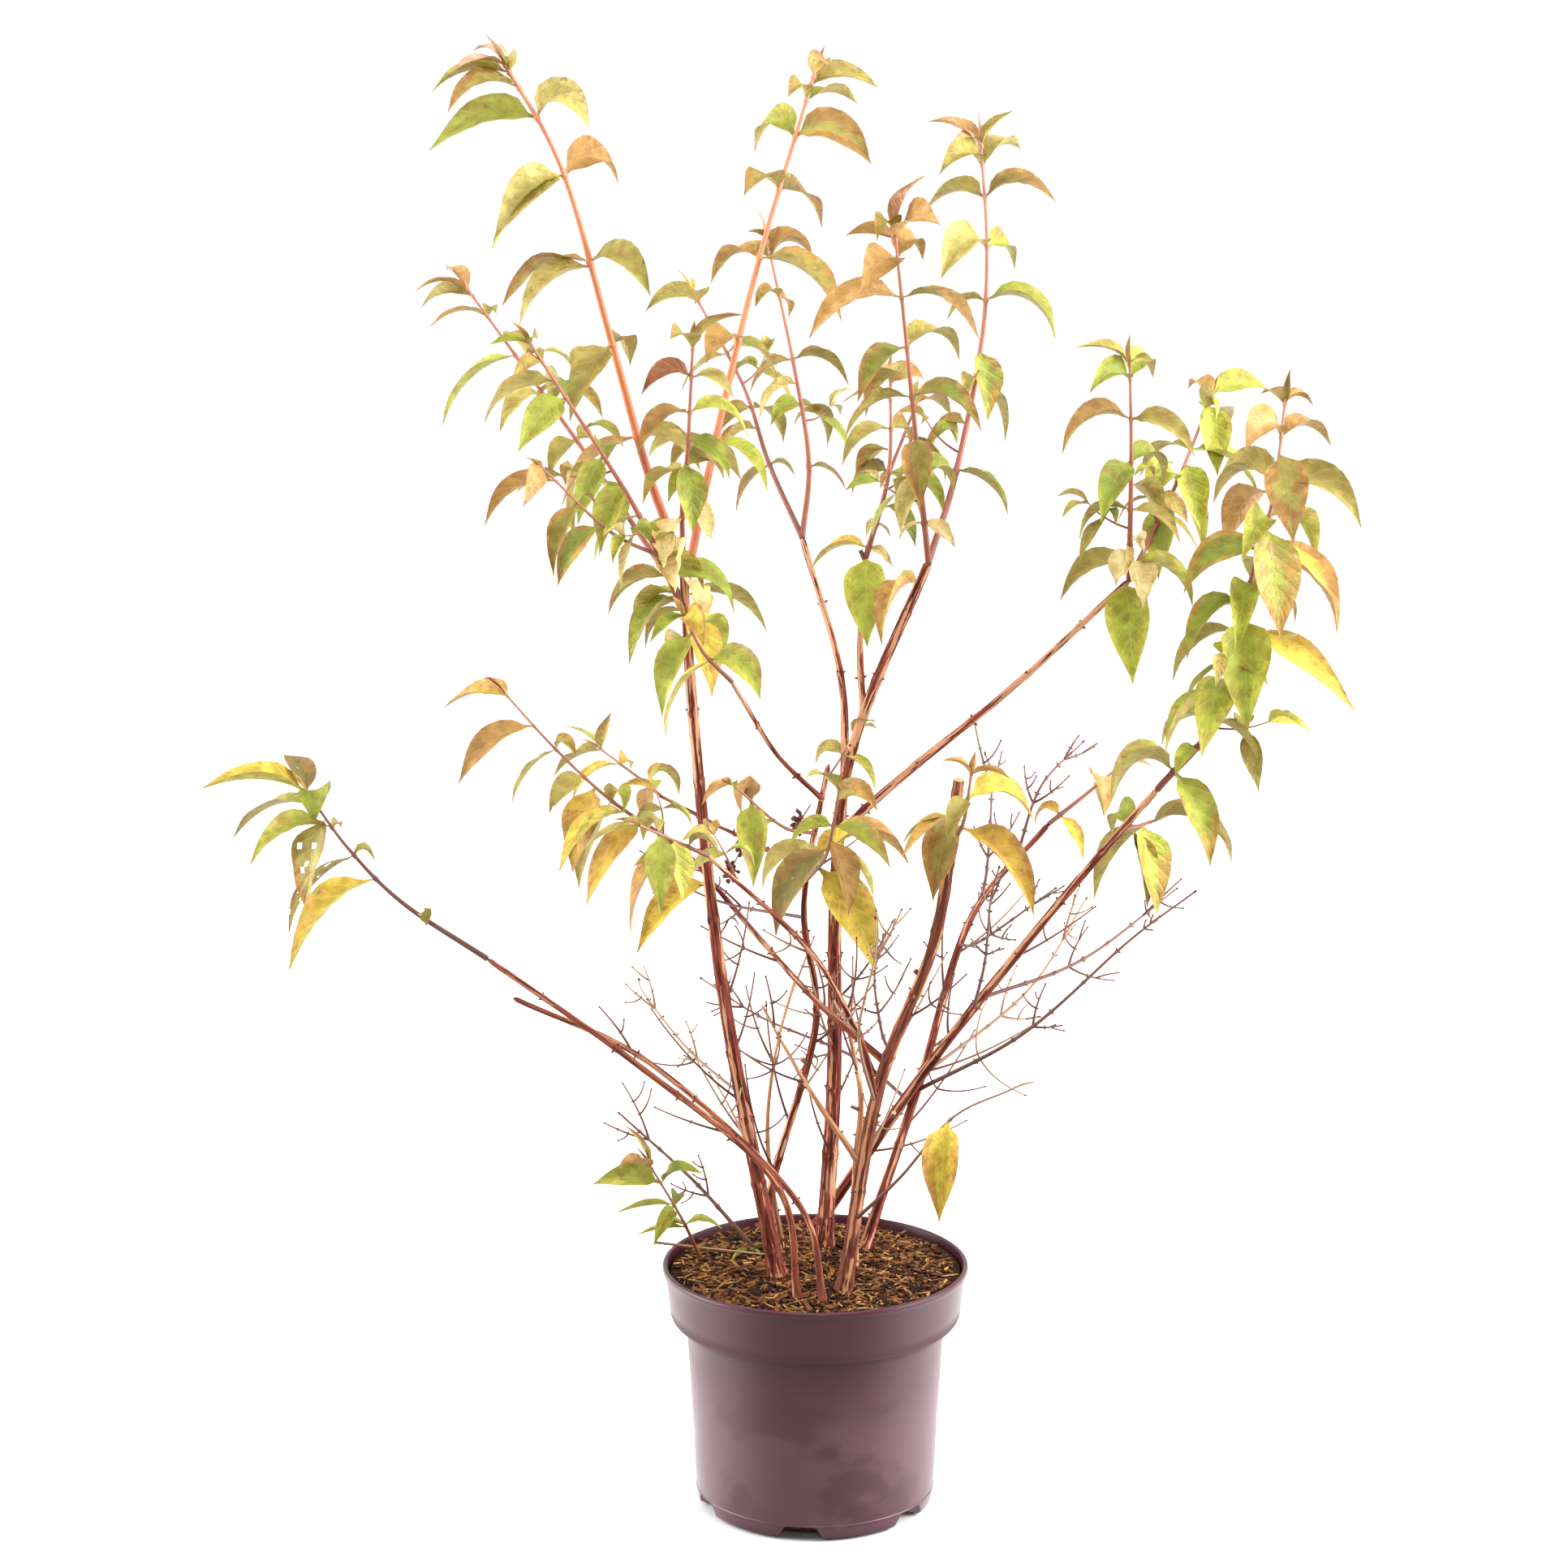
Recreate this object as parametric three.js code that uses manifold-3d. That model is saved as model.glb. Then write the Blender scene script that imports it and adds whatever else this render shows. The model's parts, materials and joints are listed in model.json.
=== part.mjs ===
// Potted deutzia shrub in autumn: a plastic nursery pot, its compost, the woody canes that
// rise from it, and the leafy shoots and bare twigs that the canes carry.
// Millimetres, +Z up, origin at the middle of the pot's flat underside. -Y is the front.
import * as THREE from 'three';
import { mergeVertices } from 'three/addons/utils/BufferGeometryUtils.js';
import Module from 'manifold-3d';

const wasm = await Module();
wasm.setup();

// Driving dimensions
const rimRadius = 115;
const potHeight = 187;
const footRadius = 84;
const bodyTopRadius = 97.5;
const collarFootRadius = 109.4;
const collarTopRadius = 113;
const wall = 2;
const floorLevel = 5.5;
const collarHeight = 43;
const drainNotches = 6;
const drainNotchWidth = 35;
const drainNotchHeight = 9;
const drainTurn = -0.13;
const soilLevel = 180;
const potSegments = 40;
const gap = 0.3;

// A leaf, in shares of its own length
const leafWidth = 0.42;
const leafThickness = 0.02;
const petioleShare = 0.07;
const petioleWidth = 0.02;
const leafStations = [0, petioleShare, 0.38, 0.74, 1];
const leafOutline = [0, petioleWidth, 0.5, 0.32, 0];
const leafArm = 0.45;
const leafDrop = 0.6;
const leafSpread = 0.15;

// How a pair of leaves is held, in degrees
const pairTurns = [-15, 55];
const turnJitter = 20;
const riseAtFoot = 12;
const riseAtTip = 68;
const riseJitter = 10;
const lastNode = 0.985;
const budLength = 30;
const budSag = 0.2;
const hangPull = 0.35;
const faceForward = 20;
const rollJitter = 30;
const sagAtFoot = 2.1;
const sagAtTip = 0.9;
const sagSpread = 0.25;

// Limb sections
const caneSides = 6;
const shootSides = 3;
const twigSides = 3;
const caneStep = 50;
const shootStep = 42;
const flareShare = 0.6;
const flareHeight = 12;
const sprigLengths = [18, 46];
const sprigRadii = [0.8, 0.35];

// Canes stand on the compost at their foot, or leave another limb at a share of its length.
// Each bends smoothly through the places on its way. Radii are those of its foot and tip.
const canes = [
  { name: 'cane_left', foot: [-28, -22], radii: [5.6, 3.3], bark: 'brown',
    way: [[-68, -20, 400], [-88, -12, 590], [-96, -10, 715]] },
  { name: 'cane_centre', foot: [7, 45], radii: [6.2, 3.2], bark: 'brown',
    way: [[14, 28, 320], [15, 8, 480], [28, 0, 585], [80, -20, 720]] },
  { name: 'cane_right', foot: [-2, 85], radii: [4.4, 2.5], bark: 'brown',
    way: [[35, 60, 245], [100, 48, 345], [200, 30, 480], [250, 5, 548]] },
  { name: 'cane_right_inner', foot: [36, 37], radii: [4, 2.1], bark: 'brown',
    way: [[80, 60, 310], [120, 110, 425], [180, 130, 495]] },
  { name: 'cane_cut', foot: [20, -54], radii: [5.2, 3.8], bark: 'grey',
    way: [[45, -50, 335], [85, -70, 455], [100, -90, 575]] },
  { name: 'cane_slim', foot: [-29, 37], radii: [3.2, 2], bark: 'brown',
    way: [[-33, 12, 240], [0, 2, 370], [-9, -8, 465], [9, -10, 570]] },
  { name: 'cane_low_front', foot: [-13, -70], radii: [3.7, 2], bark: 'tan',
    way: [[-30, -80, 275], [-125, -148, 382], [-230, -150, 460]] },
  { name: 'cane_low_back', foot: [6, -77], radii: [3.4, 1.8], bark: 'tan',
    way: [[-15, -60, 255], [-120, -50, 355], [-220, -50, 405]] },
  { name: 'cane_grey', foot: [28, 0], radii: [3.6, 1.3], bark: 'pale',
    way: [[30, -22, 270], [33, -18, 325], [20, 12, 385]] },
  { name: 'cane_tan', foot: [-26, 62], radii: [2.2, 0.9], bark: 'tan',
    way: [[-36, 40, 270], [-30, 50, 335], [-15, 60, 390]] },
  { name: 'bough_back', on: 'cane_centre', at: 0.68, radii: [3, 2.2], bark: 'brown',
    way: [[18, 32, 630], [-10, 70, 725]] },
  { name: 'bough_centre', on: 'cane_centre', at: 0.775, radii: [2.6, 1.9], bark: 'brown',
    way: [[32, 10, 655], [36, 20, 717]] },
  { name: 'bough_right', on: 'cane_centre', at: 0.61, radii: [3.2, 2.2], bark: 'brown',
    way: [[70, 0, 565], [140, -10, 625], [225, -10, 705]] },
  { name: 'bough_left_low', on: 'cane_slim', at: 0.935, radii: [1.9, 1.5], bark: 'brown',
    way: [[-30, -40, 585], [-60, -90, 645]] },
  { name: 'bough_mid_left', on: 'cane_cut', at: 0.44, radii: [2.6, 1.6], bark: 'brown',
    way: [[0, -20, 395], [-40, 40, 425], [-100, 90, 485]] },
  { name: 'bough_front_left', on: 'cane_cut', at: 0.37, radii: [2.4, 1.5], bark: 'brown',
    way: [[30, -80, 385], [-5, -110, 455], [-75, -200, 545]] },
  { name: 'bough_rear_left', on: 'cane_slim', at: 0.81, radii: [1.9, 1.4], bark: 'brown',
    way: [[-35, 60, 490], [-85, 150, 495], [-120, 195, 503]] },
  { name: 'bough_grey', on: 'cane_grey', at: 0.45, radii: [2.4, 1], bark: 'pale',
    way: [[-5, -30, 330], [-40, -50, 400]] },
];

// Leafy shoots: a pair of leaves at each node up the shoot, a node being a share of its
// length. left and right give the leaves' lengths at each node, 0 where there is no leaf.
// hang is how much more than the rest a shoot's leaves droop.
const shoots = [
  { name: 'shoot_tall_left', on: 'cane_left', at: 1, radii: [2.3, 0.8], seed: 11,
    way: [[-120, -30, 785], [-145, -60, 885], [-175, -90, 1000], [-215, -95, 1075]],
    nodes: [0.27, 0.45, 0.61, 0.77, 0.88, 0.94, 0.97, 1],
    left: [80, 72, 85, 82, 85, 68, 60, 44], right: [60, 60, 75, 88, 75, 0, 40, 38] },
  { name: 'shoot_tall_middle', on: 'cane_left', at: 0.97, radii: [2.2, 0.8], seed: 12,
    way: [[-70, 50, 815], [-40, 90, 935], [0, 120, 1065]],
    nodes: [0.29, 0.48, 0.64, 0.77, 0.87, 0.94, 0.97, 1],
    left: [55, 66, 68, 65, 85, 52, 0, 45], right: [60, 55, 88, 82, 82, 58, 60, 40] },
  { name: 'shoot_front_left', on: 'cane_left', at: 0.93, radii: [2, 0.8], seed: 13,
    way: [[-120, -70, 750], [-145, -100, 800], [-195, -160, 890]],
    nodes: [0.17, 0.3, 0.4, 0.6, 0.7, 0.8, 0.86, 0.93, 1],
    left: [62, 0, 50, 58, 0, 60, 65, 34, 30], right: [78, 50, 0, 55, 45, 62, 0, 30, 28] },
  { name: 'shoot_outer_left', on: 'cane_left', at: 0.95, radii: [2, 0.8], seed: 14,
    way: [[-130, 30, 735], [-170, 60, 790], [-215, 80, 850], [-260, 100, 910]],
    nodes: [0.3, 0.52, 0.78, 0.9, 0.96, 1],
    left: [42, 48, 88, 52, 56, 46], right: [0, 52, 0, 36, 0, 38] },
  { name: 'shoot_short_left', on: 'cane_left', at: 1, radii: [1.9, 0.8], seed: 15,
    way: [[-95, -60, 765], [-90, -100, 810], [-85, -140, 885]],
    nodes: [0.14, 0.27, 0.4, 0.53, 0.64, 0.75, 0.88, 1],
    left: [0, 45, 52, 62, 40, 65, 52, 50], right: [45, 55, 0, 52, 46, 66, 42, 50] },
  { name: 'shoot_thin_left', on: 'shoot_front_left', at: 0.25, radii: [1.3, 0.6], seed: 16,
    way: [[-145, -110, 755], [-185, -200, 810]],
    nodes: [0.44, 0.66, 0.86, 1],
    left: [54, 55, 66, 45], right: [0, 30, 0, 18] },
  { name: 'shoot_centre_left', on: 'bough_left_low', at: 1, radii: [1.5, 0.8], seed: 17,
    way: [[-80, -110, 670], [-92, -135, 700]],
    nodes: [0.35, 0.75, 1], hang: 2,
    left: [76, 66, 36], right: [64, 62, 50] },
  { name: 'shoot_centre_front', on: 'cane_centre', at: 1, radii: [2, 0.8], seed: 21,
    way: [[70, -70, 800], [60, -110, 885], [50, -150, 965]],
    nodes: [0.13, 0.29, 0.52, 0.66, 0.8, 0.91, 0.96, 1],
    left: [25, 54, 66, 74, 82, 72, 40, 55], right: [35, 56, 68, 76, 80, 62, 75, 55] },
  { name: 'shoot_centre_tall', on: 'cane_centre', at: 1, radii: [2.2, 0.8], seed: 22,
    way: [[100, 20, 775], [120, 60, 865], [125, 80, 935], [120, 90, 1015]],
    nodes: [0.24, 0.46, 0.64, 0.76, 0.87, 0.94, 0.99, 1],
    left: [0, 38, 42, 80, 60, 68, 46, 36], right: [56, 78, 82, 72, 70, 68, 36, 28] },
  { name: 'shoot_centre_low', on: 'bough_centre', at: 1, radii: [1.9, 0.7], seed: 81,
    way: [[52, 15, 779], [53, 10, 846]],
    nodes: [0.06, 0.2, 0.5, 0.74, 0.9, 1],
    left: [58, 22, 52, 62, 46, 36], right: [24, 22, 60, 45, 0, 46] },
  { name: 'shoot_twin', on: 'shoot_centre_low', at: 0.48, radii: [1.2, 0.7], seed: 24,
    way: [[64, 44, 804], [74, 66, 826]],
    nodes: [0.55, 1],
    left: [0, 30], right: [52, 58] },
  { name: 'shoot_back_left', on: 'bough_back', at: 1, radii: [1.9, 0.7], seed: 25,
    way: [[-35, 120, 775], [-55, 160, 830], [-95, 200, 900]],
    nodes: [0.31, 0.53, 0.74, 0.94, 1],
    left: [48, 46, 50, 55, 36], right: [30, 56, 48, 58, 14] },
  { name: 'shoot_back', on: 'bough_back', at: 1, radii: [1.9, 0.7], seed: 26,
    way: [[-5, 105, 777], [-16, 135, 846], [-37, 165, 941]],
    nodes: [0.25, 0.45, 0.6, 0.8, 0.93, 1],
    left: [0, 42, 46, 44, 60, 18], right: [40, 64, 60, 40, 60, 28] },
  { name: 'shoot_right_front', on: 'bough_right', at: 1, radii: [1.9, 0.7], seed: 31,
    way: [[220, -60, 800], [215, -90, 870]],
    nodes: [0.08, 0.17, 0.34, 0.56, 0.75, 0.92, 1],
    left: [68, 25, 58, 64, 74, 56, 46], right: [72, 40, 50, 68, 62, 66, 25] },
  { name: 'shoot_right_back', on: 'bough_right', at: 1, radii: [1.8, 0.7], seed: 32,
    way: [[265, 50, 770], [295, 100, 830]],
    nodes: [0.35, 0.53, 0.7, 0.9, 1],
    left: [0, 66, 68, 64, 46], right: [46, 66, 72, 72, 68] },
  { name: 'shoot_far_right', on: 'cane_right', at: 1, radii: [2.3, 0.8], seed: 33,
    way: [[290, -10, 605], [310, -40, 715], [322, -48, 770], [330, -40, 840]],
    nodes: [0.06, 0.14, 0.22, 0.33, 0.45, 0.57, 0.65, 0.73, 0.81, 0.91, 1], hang: 1.3,
    left: [92, 40, 60, 90, 74, 82, 82, 60, 82, 74, 35],
    right: [76, 0, 50, 40, 90, 70, 96, 86, 88, 68, 32] },
  { name: 'shoot_right_low', on: 'cane_right', at: 0.9, radii: [1.3, 0.8], seed: 34,
    way: [[260, 80, 510], [285, 110, 515]],
    nodes: [0.2, 0.5, 1],
    left: [68, 76, 30], right: [60, 86, 84] },
  { name: 'shoot_right_inner', on: 'cane_right_inner', at: 1, radii: [1.7, 0.8], seed: 35,
    way: [[212, 142, 518], [240, 150, 540]],
    nodes: [0.15, 0.65, 1],
    left: [45, 78, 20], right: [40, 44, 24] },
  { name: 'shoot_cut', on: 'cane_cut', at: 0.88, radii: [1.5, 0.8], seed: 36,
    way: [[102, -118, 550], [106, -142, 590]],
    nodes: [0.4, 0.75, 1],
    left: [58, 45, 32], right: [86, 74, 36] },
  { name: 'shoot_middle', on: 'cane_slim', at: 0.78, radii: [1.6, 0.8], seed: 41,
    way: [[5, -60, 510], [10, -90, 535], [15, -120, 575]],
    nodes: [0.27, 0.54, 0.73, 0.9, 1],
    left: [80, 86, 40, 0, 52], right: [90, 86, 60, 52, 50] },
  { name: 'shoot_low_left', on: 'cane_low_front', at: 1, radii: [1.9, 0.7], seed: 42,
    way: [[-290, -130, 495], [-330, -110, 530], [-360, -100, 570]],
    nodes: [0.3, 0.55, 0.68, 0.82, 0.92, 1],
    left: [0, 100, 84, 80, 86, 80], right: [30, 0, 30, 26, 70, 58] },
  { name: 'shoot_mid_left', on: 'bough_mid_left', at: 1, radii: [1.6, 0.7], seed: 43,
    way: [[-155, 120, 515], [-200, 150, 550], [-240, 170, 590]],
    nodes: [0.05, 0.2, 0.36, 0.52, 0.69, 0.82, 1],
    left: [88, 86, 80, 50, 60, 84, 70], right: [0, 56, 48, 0, 40, 0, 30] },
  { name: 'shoot_front_low', on: 'bough_front_left', at: 1, radii: [1.5, 0.7], seed: 44,
    way: [[-120, -240, 575]],
    nodes: [0.3, 0.7, 1],
    left: [52, 56, 46], right: [45, 50, 34] },
  { name: 'shoot_rear_left', on: 'bough_rear_left', at: 1, radii: [1.4, 0.7], seed: 45,
    way: [[-135, 220, 510], [-170, 250, 530]],
    nodes: [0.3, 0.72, 1],
    left: [40, 56, 56], right: [64, 38, 42] },
  { name: 'shoot_middle_left', on: 'cane_slim', at: 0.87, radii: [1.3, 0.7], seed: 46,
    way: [[-25, -60, 535], [-60, -150, 585]],
    nodes: [0.45, 0.74, 1],
    left: [24, 66, 32], right: [0, 56, 24] },
  { name: 'sprout_rim', foot: [-86, 22], radii: [1.4, 0.7], seed: 51,
    way: [[-100, -12, 225], [-122, -28, 270]],
    nodes: [0.45, 0.65, 0.85, 1], hang: 0.6,
    left: [30, 40, 54, 44], right: [34, 36, 50, 40] },
  { name: 'twig_low_right', on: 'cane_cut', at: 0.14, radii: [1.4, 0.6], seed: 52,
    way: [[60, -100, 285], [95, -150, 345], [135, -180, 375]],
    nodes: [0.72], hang: 3,
    left: [70], right: [0] },
];

// Bare twigs carry short side twigs in place of leaves, set out by the same rule.
const bareTwigs = [
  { name: 'twig_low_left', foot: [-40, 30], radii: [1.6, 0.7], seed: 61,
    way: [[-60, 40, 200], [-95, 55, 235], [-150, 70, 282]], sprigs: 2 },
  { name: 'twig_right_front', on: 'cane_right_inner', at: 0.36, radii: [1.5, 0.6], seed: 62,
    way: [[155, 0, 365], [225, -60, 450], [270, -90, 495]], sprigs: 2 },
  { name: 'twig_right_long', on: 'cane_right', at: 0.53, radii: [1.4, 0.6], seed: 63,
    way: [[205, 100, 395], [285, 170, 435]], sprigs: 2 },
  { name: 'twig_right_back', on: 'cane_right', at: 0.36, radii: [1.3, 0.6], seed: 64,
    way: [[165, 120, 365], [215, 180, 425]], sprigs: 2 },
  { name: 'twig_right_upper', on: 'cane_right_inner', at: 0.68, radii: [1.2, 0.5], seed: 65,
    way: [[125, 60, 420], [175, -20, 480]], sprigs: 2 },
  { name: 'twig_inner_upright', on: 'cane_right', at: 0.51, radii: [1.2, 0.5], seed: 66,
    way: [[125, 0, 420], [125, -60, 480], [130, -80, 510]], sprigs: 2 },
  { name: 'twig_inner_back', on: 'cane_right_inner', at: 0.78, radii: [1.2, 0.5], seed: 67,
    way: [[135, 160, 455], [140, 200, 515], [135, 210, 535]], sprigs: 2 },
  { name: 'twig_inner_top', on: 'cane_right_inner', at: 0.9, radii: [1.1, 0.5], seed: 68,
    way: [[175, 150, 520], [210, 180, 550]], sprigs: 2 },
  { name: 'twig_centre_front', on: 'cane_cut', at: 0.36, radii: [1.3, 0.5], seed: 69,
    way: [[30, -95, 390], [40, -130, 455], [40, -150, 490]], sprigs: 2 },
  { name: 'twig_centre_back', on: 'cane_cut', at: 0.46, radii: [1.2, 0.5], seed: 81,
    way: [[48, -10, 372], [45, 50, 400], [60, 80, 425]], sprigs: 2 },
  { name: 'twig_left_back', on: 'cane_right_inner', at: 0.33, radii: [1.4, 0.5], seed: 71,
    way: [[30, 110, 315], [-40, 150, 335], [-90, 180, 360]], sprigs: 2 },
  { name: 'twig_left_side', on: 'cane_left', at: 0.27, radii: [1.2, 0.5], seed: 72,
    way: [[-95, 40, 340], [-130, 90, 370], [-135, 100, 380]], sprigs: 2 },
  { name: 'twig_left_upper', on: 'cane_slim', at: 0.71, radii: [1.2, 0.5], seed: 82,
    way: [[-70, 60, 450], [-125, 120, 460]], sprigs: 2 },
];

const barkColours = { brown: 0x7a5138, grey: 0x7d6a58, tan: 0xa98962, pale: 0xb7a284 };
const leafColours = [0x7d8c3a, 0x9a9a3c, 0x8a7a38, 0xa0803a];
const up = new THREE.Vector3(0, 0, 1);
const back = new THREE.Vector3(0, 1, 0);

// A repeatable row of numbers from 0 to 1
function seededNumbers(seed) {
  let state = seed * 7919;
  return () => {
    state = (state * 48271) % 2147483647;
    return state / 2147483647;
  };
}

function mix(from, to, share) {
  return from + (to - from) * share;
}

function degrees(angle) {
  return angle * Math.PI / 180;
}

// A closed mesh becomes a solid once only its positions are left and shared.
function solidOf(geometry) {
  const bare = geometry.clone();
  bare.deleteAttribute('normal');
  bare.deleteAttribute('uv');
  const merged = mergeVertices(bare);
  return new wasm.Manifold(new wasm.Mesh({
    numProp: 3,
    vertProperties: new Float32Array(merged.attributes.position.array),
    triVerts: new Uint32Array(merged.index.array),
  }));
}

function geometryOf(solid) {
  const mesh = solid.getMesh();
  const geometry = new THREE.BufferGeometry();
  geometry.setAttribute('position', new THREE.BufferAttribute(mesh.vertProperties, 3));
  geometry.setIndex(new THREE.BufferAttribute(mesh.triVerts, 1));
  geometry.computeVertexNormals();
  return geometry;
}

// The largest piece, without sealed hollows or loose scraps
function wholeBody(solid) {
  return solid.decompose().sort((a, b) => b.volume() - a.volume())[0];
}

// Moves every point of a geometry to where goal(x, y, z) puts it.
function reshape(geometry, goal) {
  const position = geometry.attributes.position;
  for (let index = 0; index < position.count; index += 1) {
    const moved = goal(position.getX(index), position.getY(index), position.getZ(index));
    position.setXYZ(index, moved.x, moved.y, moved.z);
  }
  return geometry;
}

// The two directions across a limb: to its right as seen from the front, and away.
function across(tangent) {
  const side = new THREE.Vector3().crossVectors(back, tangent).normalize();
  const away = new THREE.Vector3().crossVectors(tangent, side);
  return { side, away };
}

function stepsOf(limb) {
  return Math.ceil(limb.curve.getLength() / limb.step);
}

// The middle of a limb's faceted rod at a share of its length
function heart(limb, share) {
  const steps = stepsOf(limb);
  const before = Math.min(Math.floor(share * steps), steps - 1);
  const from = limb.curve.getPointAt(before / steps);
  const to = limb.curve.getPointAt((before + 1) / steps);
  return from.lerp(to, share * steps - before);
}

// A tapering limb round a curve. swell widens and lengthens it, for cutting its neighbours.
function limbSolid(limb, swell = 0) {
  const length = limb.curve.getLength();
  const rod = new THREE.CylinderGeometry(1, 1, 1, limb.sides, stepsOf(limb));
  reshape(rod, (x, y, z) => {
    const share = y + 0.5;
    const centre = limb.curve.getPointAt(share);
    const tangent = limb.foot && share === 0 ? up : limb.curve.getTangentAt(share);
    const { side, away } = across(tangent);
    const flare = limb.foot ? flareShare * Math.exp(-share * length / flareHeight) : 0;
    const radius = mix(limb.radii[0], limb.radii[1], share) * (1 + flare) + swell;
    return centre
      .addScaledVector(side, x * radius)
      .addScaledVector(away, -z * radius)
      .addScaledVector(tangent, share === 1 ? swell : 0);
  });
  return solidOf(rod);
}

const limbs = new Map();

// Works out a limb's curve from its foot or its parent, and its solid cut clear of its kin.
function growLimb(spec, sides, step) {
  const parent = limbs.get(spec.on);
  const start = parent
    ? parent.curve.getPointAt(spec.at)
    : new THREE.Vector3(spec.foot[0], spec.foot[1], soilLevel + gap);
  const points = [start, ...spec.way.map((place) => new THREE.Vector3(...place))];
  const curve = new THREE.CatmullRomCurve3(points, false, 'catmullrom');
  const limb = { ...spec, curve, sides, step };
  limb.solid = limbSolid(limb);
  if (parent) {
    const kin = [...limbs.values()].filter((other) => other === parent || other.on === spec.on);
    for (const other of kin) {
      limb.solid = limb.solid.subtract(limbSolid(other, gap));
    }
    limb.solid = wholeBody(limb.solid);
  }
  limbs.set(spec.name, limb);
  return limb;
}

// Solids that leaves keep clear of
const placed = [];

function place(owner, solid) {
  placed.push({ owner, solid, box: solid.boundingBox() });
}

function boxesMeet(a, b) {
  return a.min.every((low, axis) => low - gap < b.max[axis] && b.min[axis] - gap < a.max[axis]);
}

function isClear(solid, owner) {
  const box = solid.boundingBox();
  return placed.every((other) => other.owner === owner
    || !boxesMeet(box, other.box)
    || solid.minGap(other.solid, 2 * gap) >= gap);
}

// How one leaf or side twig sets off from a node of its shoot, drawn from the seed.
function stance(limb, share, order, hand, draw) {
  const tangent = limb.curve.getTangentAt(share);
  const { side, away } = across(tangent);
  const turn = degrees(pairTurns[order % 2] + turnJitter * (2 * draw() - 1));
  const rise = degrees(mix(riseAtFoot, riseAtTip, share ** 5) + riseJitter * (2 * draw() - 1));
  const droop = mix(sagAtFoot, sagAtTip, share ** 4) * (limb.hang ?? 1);
  const sag = droop * (1 + sagSpread * (2 * draw() - 1));
  const roll = degrees(rollJitter * (2 * draw() - 1) - hand * faceForward);
  const breadth = leafWidth * (1 + leafSpread * (2 * draw() - 1));
  const outward = side.multiplyScalar(hand * Math.cos(turn)).addScaledVector(away, hand * Math.sin(turn));
  const heading = outward.multiplyScalar(Math.cos(rise)).addScaledVector(tangent, Math.sin(rise))
    .addScaledVector(up, -hangPull * ((limb.hang ?? 1) - 1)).normalize();
  return { foot: heart(limb, share), heading, sag, roll, breadth };
}

// A leaf: a keeled blade bent along a midrib that sets off at its heading and sags to its tip.
// Its sections are triangles, with the two edges above and the midrib's keel below.
function leafSolid(length, { foot, heading, sag, roll, breadth }) {
  const bend = foot.clone().addScaledVector(heading, leafArm * length);
  const drop = heading.clone().addScaledVector(up, -sag).normalize();
  const tip = bend.clone().addScaledVector(drop, leafDrop * length);
  const midrib = new THREE.QuadraticBezierCurve3(foot, bend, tip);
  const level = new THREE.Vector3().crossVectors(heading, up).normalize();
  const blade = new THREE.SphereGeometry(1, 3, 4, Math.PI / 6);
  reshape(blade, (x, y, z) => {
    const station = Math.round(4 * Math.acos(THREE.MathUtils.clamp(y, -1, 1)) / Math.PI);
    const share = leafStations[station];
    const halfWidth = leafOutline[station] * breadth * length;
    const halfThickness = Math.min(0.5 * leafThickness * length, Math.max(halfWidth, petioleWidth));
    const tangent = midrib.getTangent(share);
    const face = new THREE.Vector3().crossVectors(level, tangent);
    const edge = level.clone().multiplyScalar(Math.cos(roll)).addScaledVector(face, Math.sin(roll));
    const normal = new THREE.Vector3().crossVectors(edge, tangent);
    const ring = Math.hypot(x, z) || 1;
    return midrib.getPoint(share)
      .addScaledVector(edge, halfWidth * Math.sign(Math.round(-x)))
      .addScaledVector(normal, halfThickness * z / ring);
  });
  return solidOf(blade);
}

// Leaf pairs up a shoot and a young one at its end, each fused to it unless it would touch
// something else.
function leafyShoot(limb) {
  const draw = seededNumbers(limb.seed);
  const leaves = [];
  limb.nodes.forEach((share, order) => {
    for (const [hand, lengths] of [[-1, limb.left], [1, limb.right]]) {
      const held = stance(limb, Math.min(share, lastNode), order, hand, draw);
      if (lengths[order] > 0) {
        leaves.push(leafSolid(lengths[order], held));
      }
    }
  });
  const bud = stance(limb, lastNode, limb.nodes.length, 1, draw);
  const heading = limb.curve.getTangentAt(1);
  leaves.push(leafSolid(budLength, { ...bud, heading, sag: budSag }));
  const clear = leaves.filter((leaf) => isClear(leaf, limb.name));
  clear.forEach((leaf) => place(limb.name, leaf));
  return wholeBody(wasm.Manifold.union([limb.solid, ...clear]));
}

// A bare twig with pairs of thin side twigs, each left out if it would touch something else
function bareTwig(limb) {
  const draw = seededNumbers(limb.seed);
  const sides = [];
  for (let order = 0; order < limb.sprigs; order += 1) {
    const share = (order + 1) / (limb.sprigs + 0.5);
    for (const hand of [-1, 1]) {
      const { foot, heading } = stance(limb, share, order, hand, draw);
      const length = mix(sprigLengths[0], sprigLengths[1], draw());
      const along = limb.curve.getTangentAt(share);
      const bend = foot.clone().addScaledVector(heading, leafArm * length);
      const tip = bend.clone().addScaledVector(along.add(heading).normalize(), leafDrop * length);
      const curve = new THREE.QuadraticBezierCurve3(foot, bend, tip);
      sides.push(limbSolid({ curve, radii: sprigRadii, sides: twigSides, step: length }));
    }
  }
  const clear = sides.filter((side) => isClear(side, limb.name));
  clear.forEach((side) => place(limb.name, side));
  return wholeBody(wasm.Manifold.union([limb.solid, ...clear]));
}

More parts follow.
